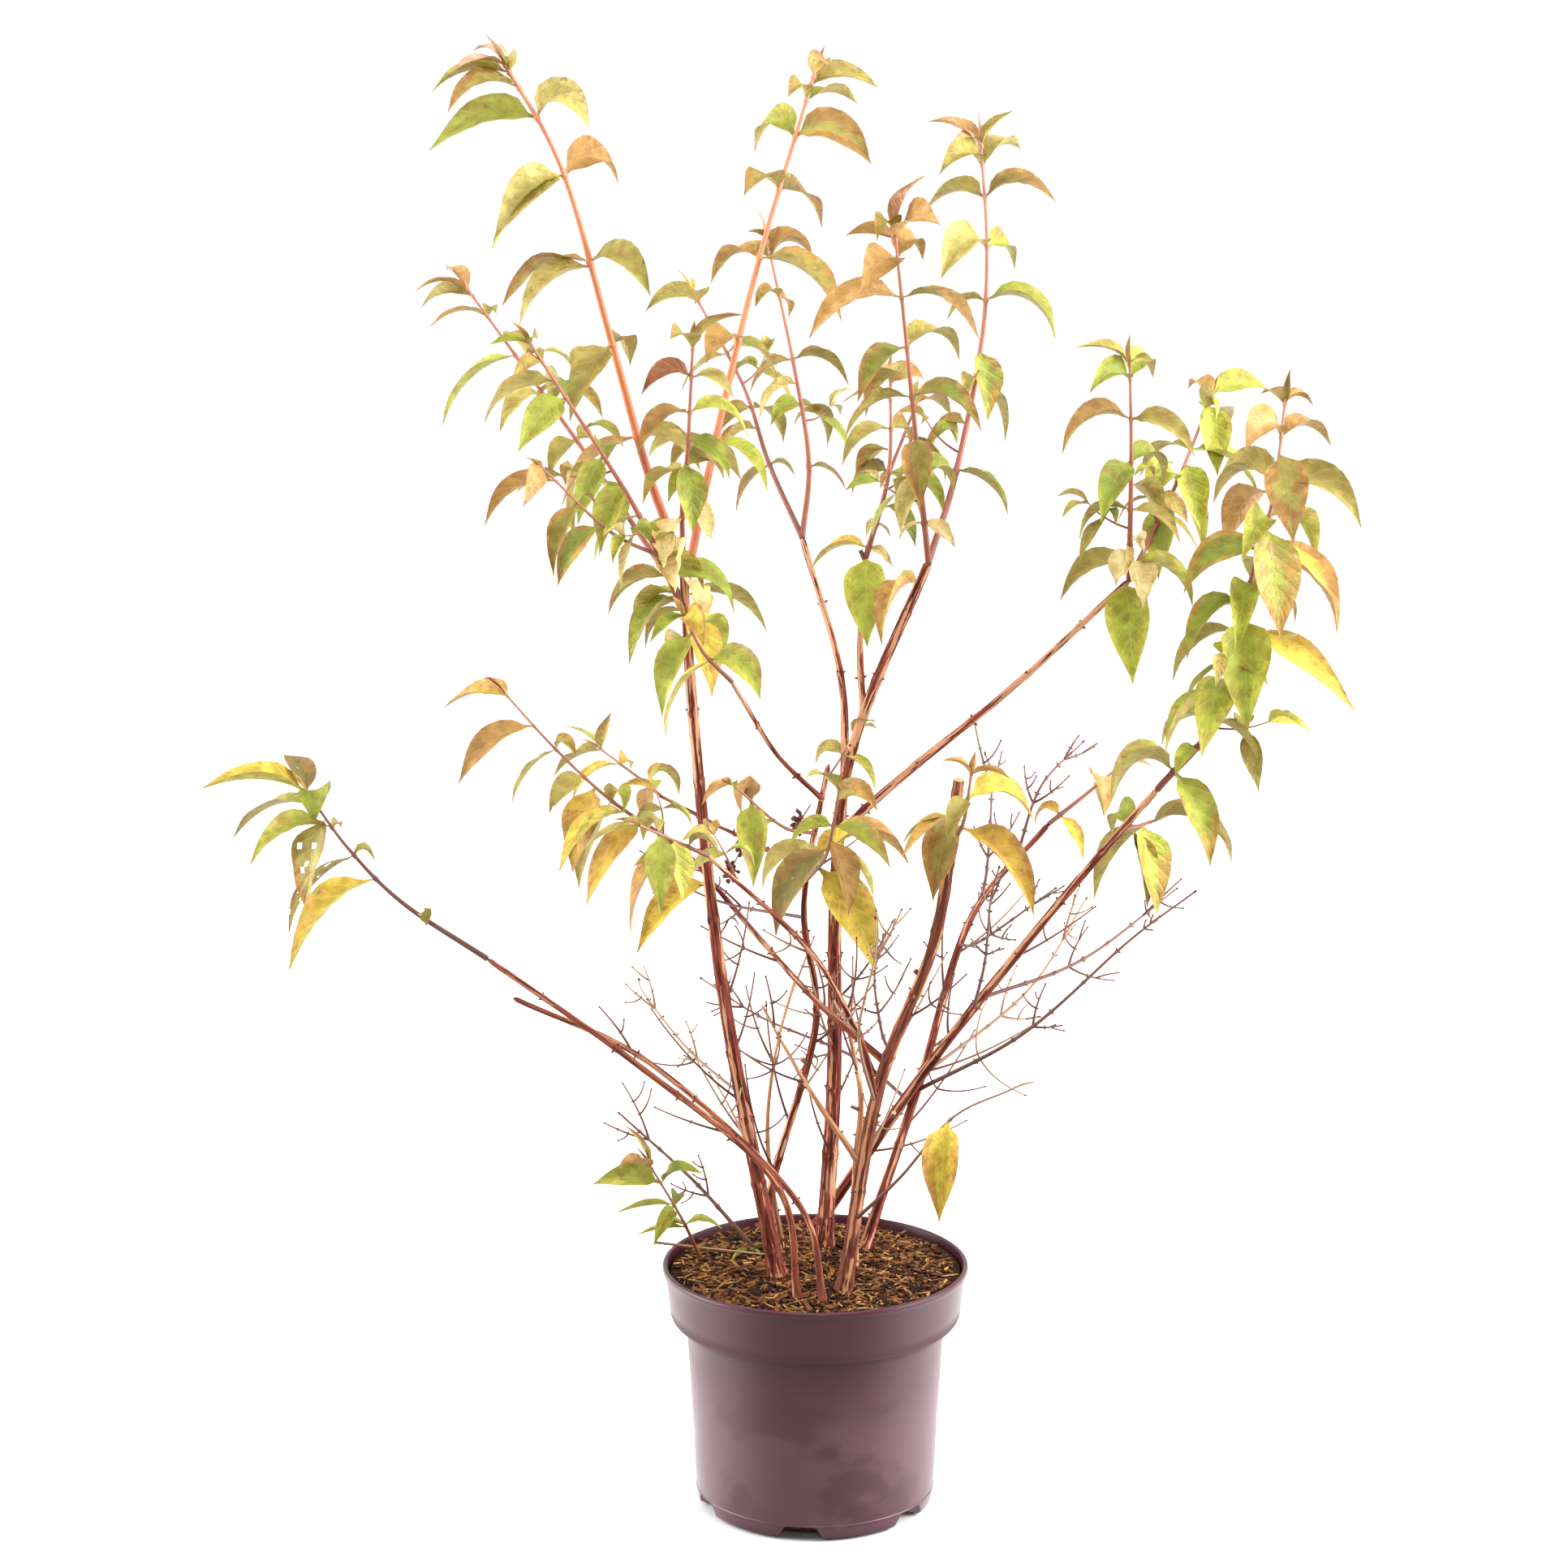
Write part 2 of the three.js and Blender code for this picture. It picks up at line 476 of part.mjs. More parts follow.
// The pot is one turned shell: foot ring, tapering body, collar and rolled rim. Each profile
// is a row of radius and height, from the middle of the floor up to the rim.
const collarFoot = potHeight - collarHeight;
const outside = [
  [0, 0], [32, 0], [36, 3], [72, 3], [76, 0], [footRadius, 0], [footRadius + 4, 2.5],
  [footRadius + 5.6, 9], [bodyTopRadius, collarFoot - 2], [collarFootRadius - 3.4, collarFoot + 1],
  [collarFootRadius, collarFoot + 5], [collarTopRadius, potHeight - 6],
  [rimRadius, potHeight - 4.5], [rimRadius - 0.6, potHeight - 0.5], [rimRadius - 2, potHeight],
];
const inside = [
  [collarTopRadius - wall, potHeight - 0.5], [collarFootRadius - wall, collarFoot + 6.5],
  [collarFootRadius - 4.4, collarFoot + 3.2], [bodyTopRadius - wall, collarFoot - 1],
  [footRadius + 5.6 - wall, 11], [footRadius, floorLevel + 1], [0, floorLevel],
];

function turned(profile) {
  const points = profile.map(([radius, height]) => new THREE.Vector2(radius, height));
  return new THREE.LatheGeometry(points, potSegments).rotateX(Math.PI / 2);
}

// One drain notch: a low arch cut through the foot ring and the wall above it
function drainNotch(order) {
  const half = drainNotchWidth / 2;
  const arch = new THREE.Shape();
  arch.moveTo(-half, -1);
  arch.lineTo(half, -1);
  arch.lineTo(half - 3, drainNotchHeight - 2.5);
  arch.lineTo(half - 6.5, drainNotchHeight);
  arch.lineTo(6.5 - half, drainNotchHeight);
  arch.lineTo(3 - half, drainNotchHeight - 2.5);
  arch.closePath();
  const cutter = new THREE.ExtrudeGeometry(arch, { depth: 30, bevelEnabled: false });
  cutter.rotateX(Math.PI / 2);
  cutter.translate(0, -footRadius + 16, 0);
  cutter.rotateZ(drainTurn + order * 2 * Math.PI / drainNotches);
  return solidOf(cutter);
}

function pot() {
  let shell = solidOf(turned([...outside, ...inside]));
  for (let order = 0; order < drainNotches; order += 1) {
    shell = shell.subtract(drainNotch(order));
  }
  return wholeBody(shell);
}

// Compost fills the pot to its flat top, the gap clear of the shell all round.
function soil() {
  const filled = inside.filter(([, height]) => height < soilLevel);
  const [[topRadius]] = filled;
  const profile = [
    [0, soilLevel], [topRadius - gap, soilLevel],
    ...filled.slice(0, -1).map(([radius, height]) => [radius - 1.5 * gap, height + 1.5 * gap]),
    [0, floorLevel + gap],
  ];
  return solidOf(turned(profile.reverse()));
}

const model = new THREE.Group();

function addPart(name, solid, color, roughness) {
  const material = new THREE.MeshStandardMaterial({ color, roughness, metalness: 0 });
  const mesh = new THREE.Mesh(geometryOf(solid), material);
  mesh.name = name;
  model.add(mesh);
}

const potSolid = pot();
const soilSolid = soil();
place('pot', potSolid);
place('soil', soilSolid);
addPart('pot', potSolid, 0x7d656b, 0.5);
addPart('soil', soilSolid, 0x4a3a2e, 0.95);

for (const spec of canes) {
  const limb = growLimb(spec, caneSides, caneStep);
  addPart(limb.name, limb.solid, barkColours[limb.bark], 0.85);
}
const leafy = shoots.map((spec) => growLimb(spec, shootSides, shootStep));
const bare = bareTwigs.map((spec) => growLimb(spec, twigSides, shootStep));
limbs.forEach((limb) => place(limb.name, limb.solid));
leafy.forEach((limb, order) => {
  addPart(limb.name, leafyShoot(limb), leafColours[order % leafColours.length], 0.6);
});
bare.forEach((limb) => addPart(limb.name, bareTwig(limb), barkColours.tan, 0.85));

export default model;
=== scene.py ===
# %% [markdown]
# # A potted deutzia in autumn
# The object is a young flowering shrub in its nursery pot, photographed in October or
# November: bare, twiggy legs below, and pairs of drooping leaves above that turn from green
# through olive and yellow to bronze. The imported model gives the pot, the canes and every
# leafy shoot at their true places. This lesson dresses them, piece by piece.

import json
import math

import bpy
import numpy as np
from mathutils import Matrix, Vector, noise

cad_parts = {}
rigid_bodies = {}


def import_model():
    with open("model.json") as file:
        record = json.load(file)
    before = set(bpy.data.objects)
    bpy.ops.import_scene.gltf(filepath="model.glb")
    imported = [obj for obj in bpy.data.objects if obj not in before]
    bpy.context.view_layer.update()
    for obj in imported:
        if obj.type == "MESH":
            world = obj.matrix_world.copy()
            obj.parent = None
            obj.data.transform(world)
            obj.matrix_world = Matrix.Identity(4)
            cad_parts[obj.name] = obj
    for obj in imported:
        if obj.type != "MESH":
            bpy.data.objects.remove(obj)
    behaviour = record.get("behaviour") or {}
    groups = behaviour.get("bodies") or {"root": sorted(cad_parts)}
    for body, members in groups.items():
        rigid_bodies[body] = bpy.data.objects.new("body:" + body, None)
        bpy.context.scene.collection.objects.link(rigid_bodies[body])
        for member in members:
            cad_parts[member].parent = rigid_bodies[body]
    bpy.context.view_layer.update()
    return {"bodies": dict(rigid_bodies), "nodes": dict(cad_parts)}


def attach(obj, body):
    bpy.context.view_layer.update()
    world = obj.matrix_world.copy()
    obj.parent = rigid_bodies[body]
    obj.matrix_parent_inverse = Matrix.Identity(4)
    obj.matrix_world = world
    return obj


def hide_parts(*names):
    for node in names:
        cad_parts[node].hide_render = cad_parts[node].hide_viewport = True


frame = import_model()
BODY = next(iter(frame["bodies"]))
MM = 0.001
print("CAD nodes:", len(frame["nodes"]), "body:", BODY)


def nothing_selected():
    """Operators act on all that is selected, so each step starts from nothing."""
    if bpy.context.object and bpy.context.object.mode != "OBJECT":
        bpy.ops.object.mode_set(mode="OBJECT")
    bpy.ops.object.select_all(action="DESELECT")


nothing_selected()

# %% [markdown]
# ## Camera
# The photograph was taken with a long lens from about two and a half metres away, a little
# below the top of the plant and looking down at the pot. Its place and lens were worked out
# from the ellipse of the pot's rim and the level of its foot.

# %% Camera
EYE = (-0.0235, -2.604, 1.0912)
LOOK_DOWN = 11.67
LENS = 83.48

camera = bpy.data.objects.new("camera", bpy.data.cameras.new("camera"))
bpy.context.scene.collection.objects.link(camera)
camera.location = EYE
camera.rotation_euler = (math.radians(90 - LOOK_DOWN), 0, 0)
camera.data.lens = LENS
camera.data.sensor_width = 36
bpy.context.scene.camera = camera
print("camera", EYE, "lens", LENS)

# %% [markdown]
# ## Shader maths
# Every finish below is a Principled shader whose colour, roughness and bump are worked out
# from noise. Writing that as node calls hides the idea, so one small class wraps a socket:
# adding or multiplying two of them adds the Math node, and `node` adds any other kind.

# %% The signal class
class Signal:
    """A socket of a material, which can be added, subtracted and multiplied."""

    def __init__(self, tree, socket):
        self.tree = tree
        self.socket = socket

    def node(self, kind, settings=None, inputs=None, output=0):
        """Adds a node: its settings first, then the values or links of its inputs."""
        made = self.tree.nodes.new(kind)
        for key, value in (settings or {}).items():
            if key == "stops":
                fill_ramp(made.color_ramp, value)
            else:
                setattr(made, key, value)
        for key, value in (inputs or {}).items():
            if isinstance(value, Signal):
                self.tree.links.new(value.socket, made.inputs[key])
            else:
                made.inputs[key].default_value = value
        return Signal(self.tree, made.outputs[output])

    def maths(self, operation, first, second):
        settings = {"operation": operation}
        return self.node("ShaderNodeMath", settings, {0: first, 1: second})

    def __add__(self, other):
        return self.maths("ADD", self, other)

    def __sub__(self, other):
        return self.maths("SUBTRACT", self, other)

    def __mul__(self, other):
        return self.maths("MULTIPLY", self, other)

    __radd__ = __add__

    def step(self, low, high):
        """0 below low and 1 above high, smooth between."""
        settings = {"interpolation_type": "SMOOTHSTEP"}
        return self.node("ShaderNodeMapRange", settings, {0: self, 1: low, 2: high})

    def blend(self, first, second):
        """The first colour where this is 0, and the second where it is 1."""
        settings = {"data_type": "RGBA"}
        return self.node("ShaderNodeMix", settings, {0: self, 6: first, 7: second}, 2)

    def part(self, axis):
        """One of a place's three numbers: 0 for x, 1 for y and 2 for z."""
        return self.node("ShaderNodeSeparateXYZ", {}, {0: self}, axis)

    def noise(self, scale, detail=3.0, stretch=(1, 1, 1)):
        """Noise on this place, finer as the scale grows and longer where stretch is small."""
        place = self.node("ShaderNodeMapping", {}, {"Vector": self, "Scale": stretch})
        return self.node(
            "ShaderNodeTexNoise", {}, {"Vector": place, "Scale": scale, "Detail": detail}
        )


def fill_ramp(ramp, stops):
    while len(ramp.elements) < len(stops):
        ramp.elements.new(0.5)
    for element, (position, colour) in zip(ramp.elements, stops):
        element.position = position
        element.color = colour


print("signals add, multiply and blend")

# %% Colours and a new finish
def srgb(code):
    """A colour such as "7d656b" as the linear numbers that a shader takes."""
    parts = [int(code[k : k + 2], 16) / 255 for k in (0, 2, 4)]
    linear = [p / 12.92 if p <= 0.04045 else ((p + 0.055) / 1.055) ** 2.4 for p in parts]
    return (*linear, 1.0)


def tinted(code, factor, lift=0):
    """A colour made lighter or darker, and no brighter than white."""
    return tuple(min(1, part * factor + lift) for part in srgb(code)[:3]) + (1,)


class Finish:
    """A material with a Principled shader, and signals for places and attributes."""

    def __init__(self, name, **constants):
        self.material = bpy.data.materials.new(name)
        self.material.use_nodes = True
        self.tree = self.material.node_tree
        self.shader = self.tree.nodes["Principled BSDF"]
        for key, value in constants.items():
            self.shader.inputs[key.replace("_", " ")].default_value = value
        self.start = Signal(self.tree, self.shader.outputs[0])
        self.place = self.start.node("ShaderNodeTexCoord", output=3)

    def attribute(self, name, output):
        settings = {"attribute_name": name}
        return self.start.node("ShaderNodeAttribute", settings, output=output)

    def feed(self, **signals):
        for key, signal in signals.items():
            self.tree.links.new(signal.socket, self.shader.inputs[key.replace("_", " ")])

    def bump(self, height, strength, distance):
        settings = {"Height": height, "Strength": strength, "Distance": distance}
        self.feed(Normal=self.start.node("ShaderNodeBump", {}, settings))


# The outputs of an Attribute node that give a number and a place.
FACTOR, VECTOR = 2, 1
print("white is", srgb("ffffff"))

# %% [markdown]
# ## Floor and light
# The studio is a bright white cove with a dim side where the camera stands. That is why the
# pot's front is dark plum while its flanks pick up pale bands. The world is white all round
# but dim on the camera's side, the pale floor looks white but throws less light back, and
# three large soft lamps shine from above and from both sides. A fourth lamp in front is kept
# off the pot by its cone, and lights the faces of the leaves.

# %% Floor, world and lamps
bpy.context.scene.view_settings.view_transform = "Standard"
WHITE, BLACK = (1.0, 1.0, 1.0, 1.0), (0.0, 0.0, 0.0, 1.0)
DIM_SIDE, SIDE_GLARE = (0.1, 0.1, 0.1, 1.0), (5.0, 5.0, 5.0, 1.0)
COVE_STRENGTH, WHITE_FROM = 1.02, (-0.9, 0.25)
FLOOR_SIZE, FLOOR_GLOW = 60, 0.34
GLARE_BEARING, CLEAR_OF_POT = (-0.92, -0.2), (0.085, 0.13)

bpy.ops.mesh.primitive_plane_add(size=FLOOR_SIZE, location=(0, 0, 0))
floor = bpy.context.object
floor.name = "floor"
floor_finish = Finish("pale_floor", Roughness=0.9, Emission_Strength=FLOOR_GLOW)
on_floor = floor_finish.place
floor_seen = on_floor.node("ShaderNodeLightPath")
floor_mirrored = on_floor.node("ShaderNodeLightPath", output=3)
from_pot = on_floor.node("ShaderNodeVectorMath", {"operation": "LENGTH"}, {0: on_floor}, 1)
bearing = from_pot.maths("DIVIDE", on_floor.part(1), from_pot)
# Painted reflection: to glossy rays the floor glows five times white except towards the camera,
# laying pale bands on the pot's flanks.
glare = bearing.step(*GLARE_BEARING) * floor_mirrored
# Painted light: to the camera the floor glows white, but not under and round the pot, so a painted
# shadow lies at its foot and in its drain notches.
clear_of_pot = from_pot.step(*CLEAR_OF_POT) * floor_seen
floor_finish.feed(Base_Color=floor_seen.blend(srgb("a9a9a9"), srgb("f6f6f6")))
floor_finish.feed(Emission_Color=glare.blend(clear_of_pot.blend(BLACK, WHITE), SIDE_GLARE))
floor.data.materials.append(floor_finish.material)

world = bpy.data.worlds.new("white_cove")
world.use_nodes = True
background = world.node_tree.nodes["Background"]
background.inputs["Strength"].default_value = COVE_STRENGTH
cove = Signal(world.node_tree, background.outputs[0])
depth = cove.node("ShaderNodeTexCoord", output=0).part(1)
seen = cove.node("ShaderNodeLightPath")
whiteness = cove.maths("MAXIMUM", depth.step(*WHITE_FROM), seen)
cove_tone = whiteness.blend(DIM_SIDE, WHITE)
world.node_tree.links.new(cove_tone.socket, background.inputs["Color"])
bpy.context.scene.world = world

# Each lamp: its place, its size and its power.
LAMPS = {
    "left": ((-2.4, 0.1, 1.1), 1.8, 94),
    "right": ((2.3, -0.3, 1.5), 1.8, 132),
    "top": ((0.1, -0.9, 3.2), 2.2, 45),
}
MIDDLE = (0, 0, 0.6)
FRONT_PLACE, FRONT_AIM, FRONT_POWER = (0.15, -2.8, 1.9), (0.17, 0, 0.96), 162
FRONT_CONE, FRONT_SOFT, FRONT_SIZE = 31, 0.6, 0.5


def add_lamp(name, kind, place, aim, power):
    """A lamp at a place, turned towards its aim."""
    lamp = bpy.data.objects.new(name, bpy.data.lights.new(name, kind))
    bpy.context.scene.collection.objects.link(lamp)
    lamp.location = place
    lamp.rotation_euler = (Vector(aim) - Vector(place)).to_track_quat("-Z", "Y").to_euler()
    lamp.data.energy = power
    return lamp.data


for name, (place, size, power) in LAMPS.items():
    add_lamp(name, "AREA", place, MIDDLE, power).size = size
front = add_lamp("front", "SPOT", FRONT_PLACE, FRONT_AIM, FRONT_POWER)
front.spot_size = math.radians(FRONT_CONE)
front.spot_blend = FRONT_SOFT
front.shadow_soft_size = FRONT_SIZE
print("lamps:", ", ".join(LAMPS), "and front")
nothing_selected()

# %% [markdown]
# ## The rule the plant grows by
# A deutzia's leaves stand in pairs, each pair turned across the one below. The CAD source
# grows every shoot by that rule from a seed, so the same rule is written here again. With
# the same seeds it gives the same leaves, and this script can then make each one finer.
# All sizes are in millimetres until a mesh is made.

# %% Smooth curves
UP = np.array([0.0, 0.0, 1.0])
AWAY = np.array([0.0, 1.0, 0.0])


def unit(vector):
    """The vector, or each vector of an array, brought to length 1."""
    return vector / np.linalg.norm(vector, axis=-1, keepdims=True)


class Way:
    """A smooth curve through places, walked by shares of its length."""

    DIVISIONS = 200

    def __init__(self, places):
        places = [np.array(p, float) for p in places]
        before = 2 * places[0] - places[1]
        after = 2 * places[-1] - places[-2]
        self.places = [before, *places, after]
        self.spans = len(places) - 1
        marks = [self.point(k / self.DIVISIONS) for k in range(self.DIVISIONS + 1)]
        steps = np.linalg.norm(np.diff(marks, axis=0), axis=1)
        self.lengths = np.concatenate([[0.0], np.cumsum(steps)])
        self.length = self.lengths[-1]

    def point(self, time):
        span = min(int(time * self.spans), self.spans - 1)
        t = time * self.spans - span
        p0, p1, p2, p3 = self.places[span : span + 4]
        pull1 = (p2 - p0) / 2
        pull2 = (p3 - p1) / 2
        rise = 2 * p1 - 2 * p2 + pull1 + pull2
        bend = 3 * p2 - 3 * p1 - 2 * pull1 - pull2
        return ((rise * t + bend) * t + pull1) * t + p1

    def time(self, share):
        marks = np.arange(self.DIVISIONS + 1) / self.DIVISIONS
        return float(np.interp(share * self.length, self.lengths, marks))

    def at(self, share):
        return self.point(self.time(share))

    def along(self, share):
        time = self.time(share)
        return unit(self.point(min(time + 1e-4, 1)) - self.point(max(time - 1e-4, 0)))


def arch(foot, bend, tip, share):
    """Place and direction on an arch from foot to tip that leans towards bend."""
    place = (1 - share) ** 2 * foot + 2 * share * (1 - share) * bend + share**2 * tip
    return place, unit((1 - share) * (bend - foot) + share * (tip - bend))


def across(tangent):
    """The two directions across a tangent: to its side, and away from the camera."""
    side = unit(np.cross(AWAY, tangent))
    return side, np.cross(tangent, side)


def seeded(seed):
    """A repeatable row of numbers from 0 to 1."""
    state = seed * 7919

    def draw():
        nonlocal state
        state = state * 48271 % 2147483647
        return state / 2147483647

    return draw


def mix(first, second, share):
    return first + (second - first) * share


# %% How a pair of leaves is held
LEAF_WIDTH, LEAF_SPREAD = 0.42, 0.15
LEAF_ARM, LEAF_DROP = 0.45, 0.6
PAIR_TURNS, TURN_JITTER = (-15, 55), 20
RISE_AT_FOOT, RISE_AT_TIP, RISE_JITTER = 12, 68, 10
SAG_AT_FOOT, SAG_AT_TIP, SAG_SPREAD = 2.1, 0.9, 0.25
LAST_NODE, BUD_LENGTH, BUD_SAG, BUD_BREADTH = 0.985, 24, 0.2, 0.28
HANG_PULL, FACE_FORWARD, ROLL_JITTER = 0.35, 20, 30


def stance(way, hang, share, order, hand, draw):
    """Where a leaf or side twig sets off, which way, and how it sags and rolls."""
    tangent = way.along(share)
    side, away = across(tangent)
    turn = math.radians(PAIR_TURNS[order % 2] + TURN_JITTER * (2 * draw() - 1))
    lift = mix(RISE_AT_FOOT, RISE_AT_TIP, share**5) + RISE_JITTER * (2 * draw() - 1)
    rise = math.radians(lift)
    droop = mix(SAG_AT_FOOT, SAG_AT_TIP, share**4) * hang
    sag = droop * (1 + SAG_SPREAD * (2 * draw() - 1))
    roll = math.radians(ROLL_JITTER * (2 * draw() - 1) - hand * FACE_FORWARD)
    breadth = LEAF_WIDTH * (1 + LEAF_SPREAD * (2 * draw() - 1))
    outward = hand * (side * math.cos(turn) + away * math.sin(turn))
    heading = outward * math.cos(rise) + tangent * math.sin(rise)
    heading = unit(heading - UP * HANG_PULL * (hang - 1))
    return {"foot": way.at(share), "heading": heading, "sag": sag, "roll": roll,
            "breadth": breadth}


print("a way through three places is", round(Way([(0, 0, 0), (0, 5, 9), (9, 0, 9)]).length, 2))

# %% The canes and boughs
# Each row: name, foot on the compost or (parent, share), radii at foot and tip, bark, way.
SOIL_LEVEL = 180
CANES = [
    ("cane_left", (-28, -22), (5.6, 3.3), "brown",
     [(-68, -20, 400), (-88, -12, 590), (-96, -10, 715)]),
    ("cane_centre", (7, 45), (6.2, 3.2), "brown",
     [(14, 28, 320), (15, 8, 480), (28, 0, 585), (80, -20, 720)]),
    ("cane_right", (-2, 85), (4.4, 2.5), "brown",
     [(35, 60, 245), (100, 48, 345), (200, 30, 480), (250, 5, 548)]),
    ("cane_right_inner", (36, 37), (4, 2.1), "brown",
     [(80, 60, 310), (120, 110, 425), (180, 130, 495)]),
    ("cane_cut", (20, -54), (5.2, 3.8), "knotty",
     [(45, -50, 335), (85, -70, 455), (100, -90, 575)]),
    ("cane_slim", (-29, 37), (3.2, 2), "brown",
     [(-33, 12, 240), (0, 2, 370), (-9, -8, 465), (9, -10, 570)]),
    ("cane_low_front", (-13, -70), (3.7, 2), "tan",
     [(-30, -80, 275), (-125, -148, 382), (-230, -150, 460)]),
    ("cane_low_back", (6, -77), (3.4, 1.8), "tan",
     [(-15, -60, 255), (-120, -50, 355), (-220, -50, 405)]),
    ("cane_grey", (28, 0), (3.6, 1.3), "pale",
     [(30, -22, 270), (33, -18, 325), (20, 12, 385)]),
    ("cane_tan", (-26, 62), (2.2, 0.9), "pale",
     [(-36, 40, 270), (-30, 50, 335), (-15, 60, 390)]),
    ("bough_back", ("cane_centre", 0.68), (3, 2.2), "brown",
     [(18, 32, 630), (-10, 70, 725)]),
    ("bough_centre", ("cane_centre", 0.775), (2.6, 1.9), "brown",
     [(32, 10, 655), (36, 20, 717)]),
    ("bough_right", ("cane_centre", 0.61), (3.2, 2.2), "brown",
     [(70, 0, 565), (140, -10, 625), (225, -10, 705)]),
    ("bough_left_low", ("cane_slim", 0.935), (1.9, 1.5), "brown",
     [(-30, -40, 585), (-60, -90, 645)]),
    ("bough_mid_left", ("cane_cut", 0.44), (2.6, 1.6), "brown",
     [(0, -20, 395), (-40, 40, 425), (-100, 90, 485)]),
    ("bough_front_left", ("cane_cut", 0.37), (2.4, 1.5), "brown",
     [(30, -80, 385), (-5, -110, 455), (-75, -200, 545)]),
    ("bough_rear_left", ("cane_slim", 0.81), (1.9, 1.4), "brown",
     [(-35, 60, 490), (-85, 150, 495), (-120, 195, 503)]),
    ("bough_grey", ("cane_grey", 0.45), (2.4, 1), "pale",
     [(-5, -30, 330), (-40, -50, 400)]),
]
print("canes and boughs:", len(CANES))

# %% [markdown]
# ## The leafy shoots
# Each row gives a shoot, its pairs of joints, and then its left and right leaves from the
# lowest joint up. A leaf is a letter for its tint and a number for its length, so o72 is an
# olive leaf of 72 mm, and a dash is a leaf that has dropped. The tints are l lime, g green,
# G deep green, h yellow-green, o olive, p pale olive, y yellow, e gold, b bronze, B
# brown-green, r red-brown, t tan, k peach, and c and d for leaves that dried and curled.

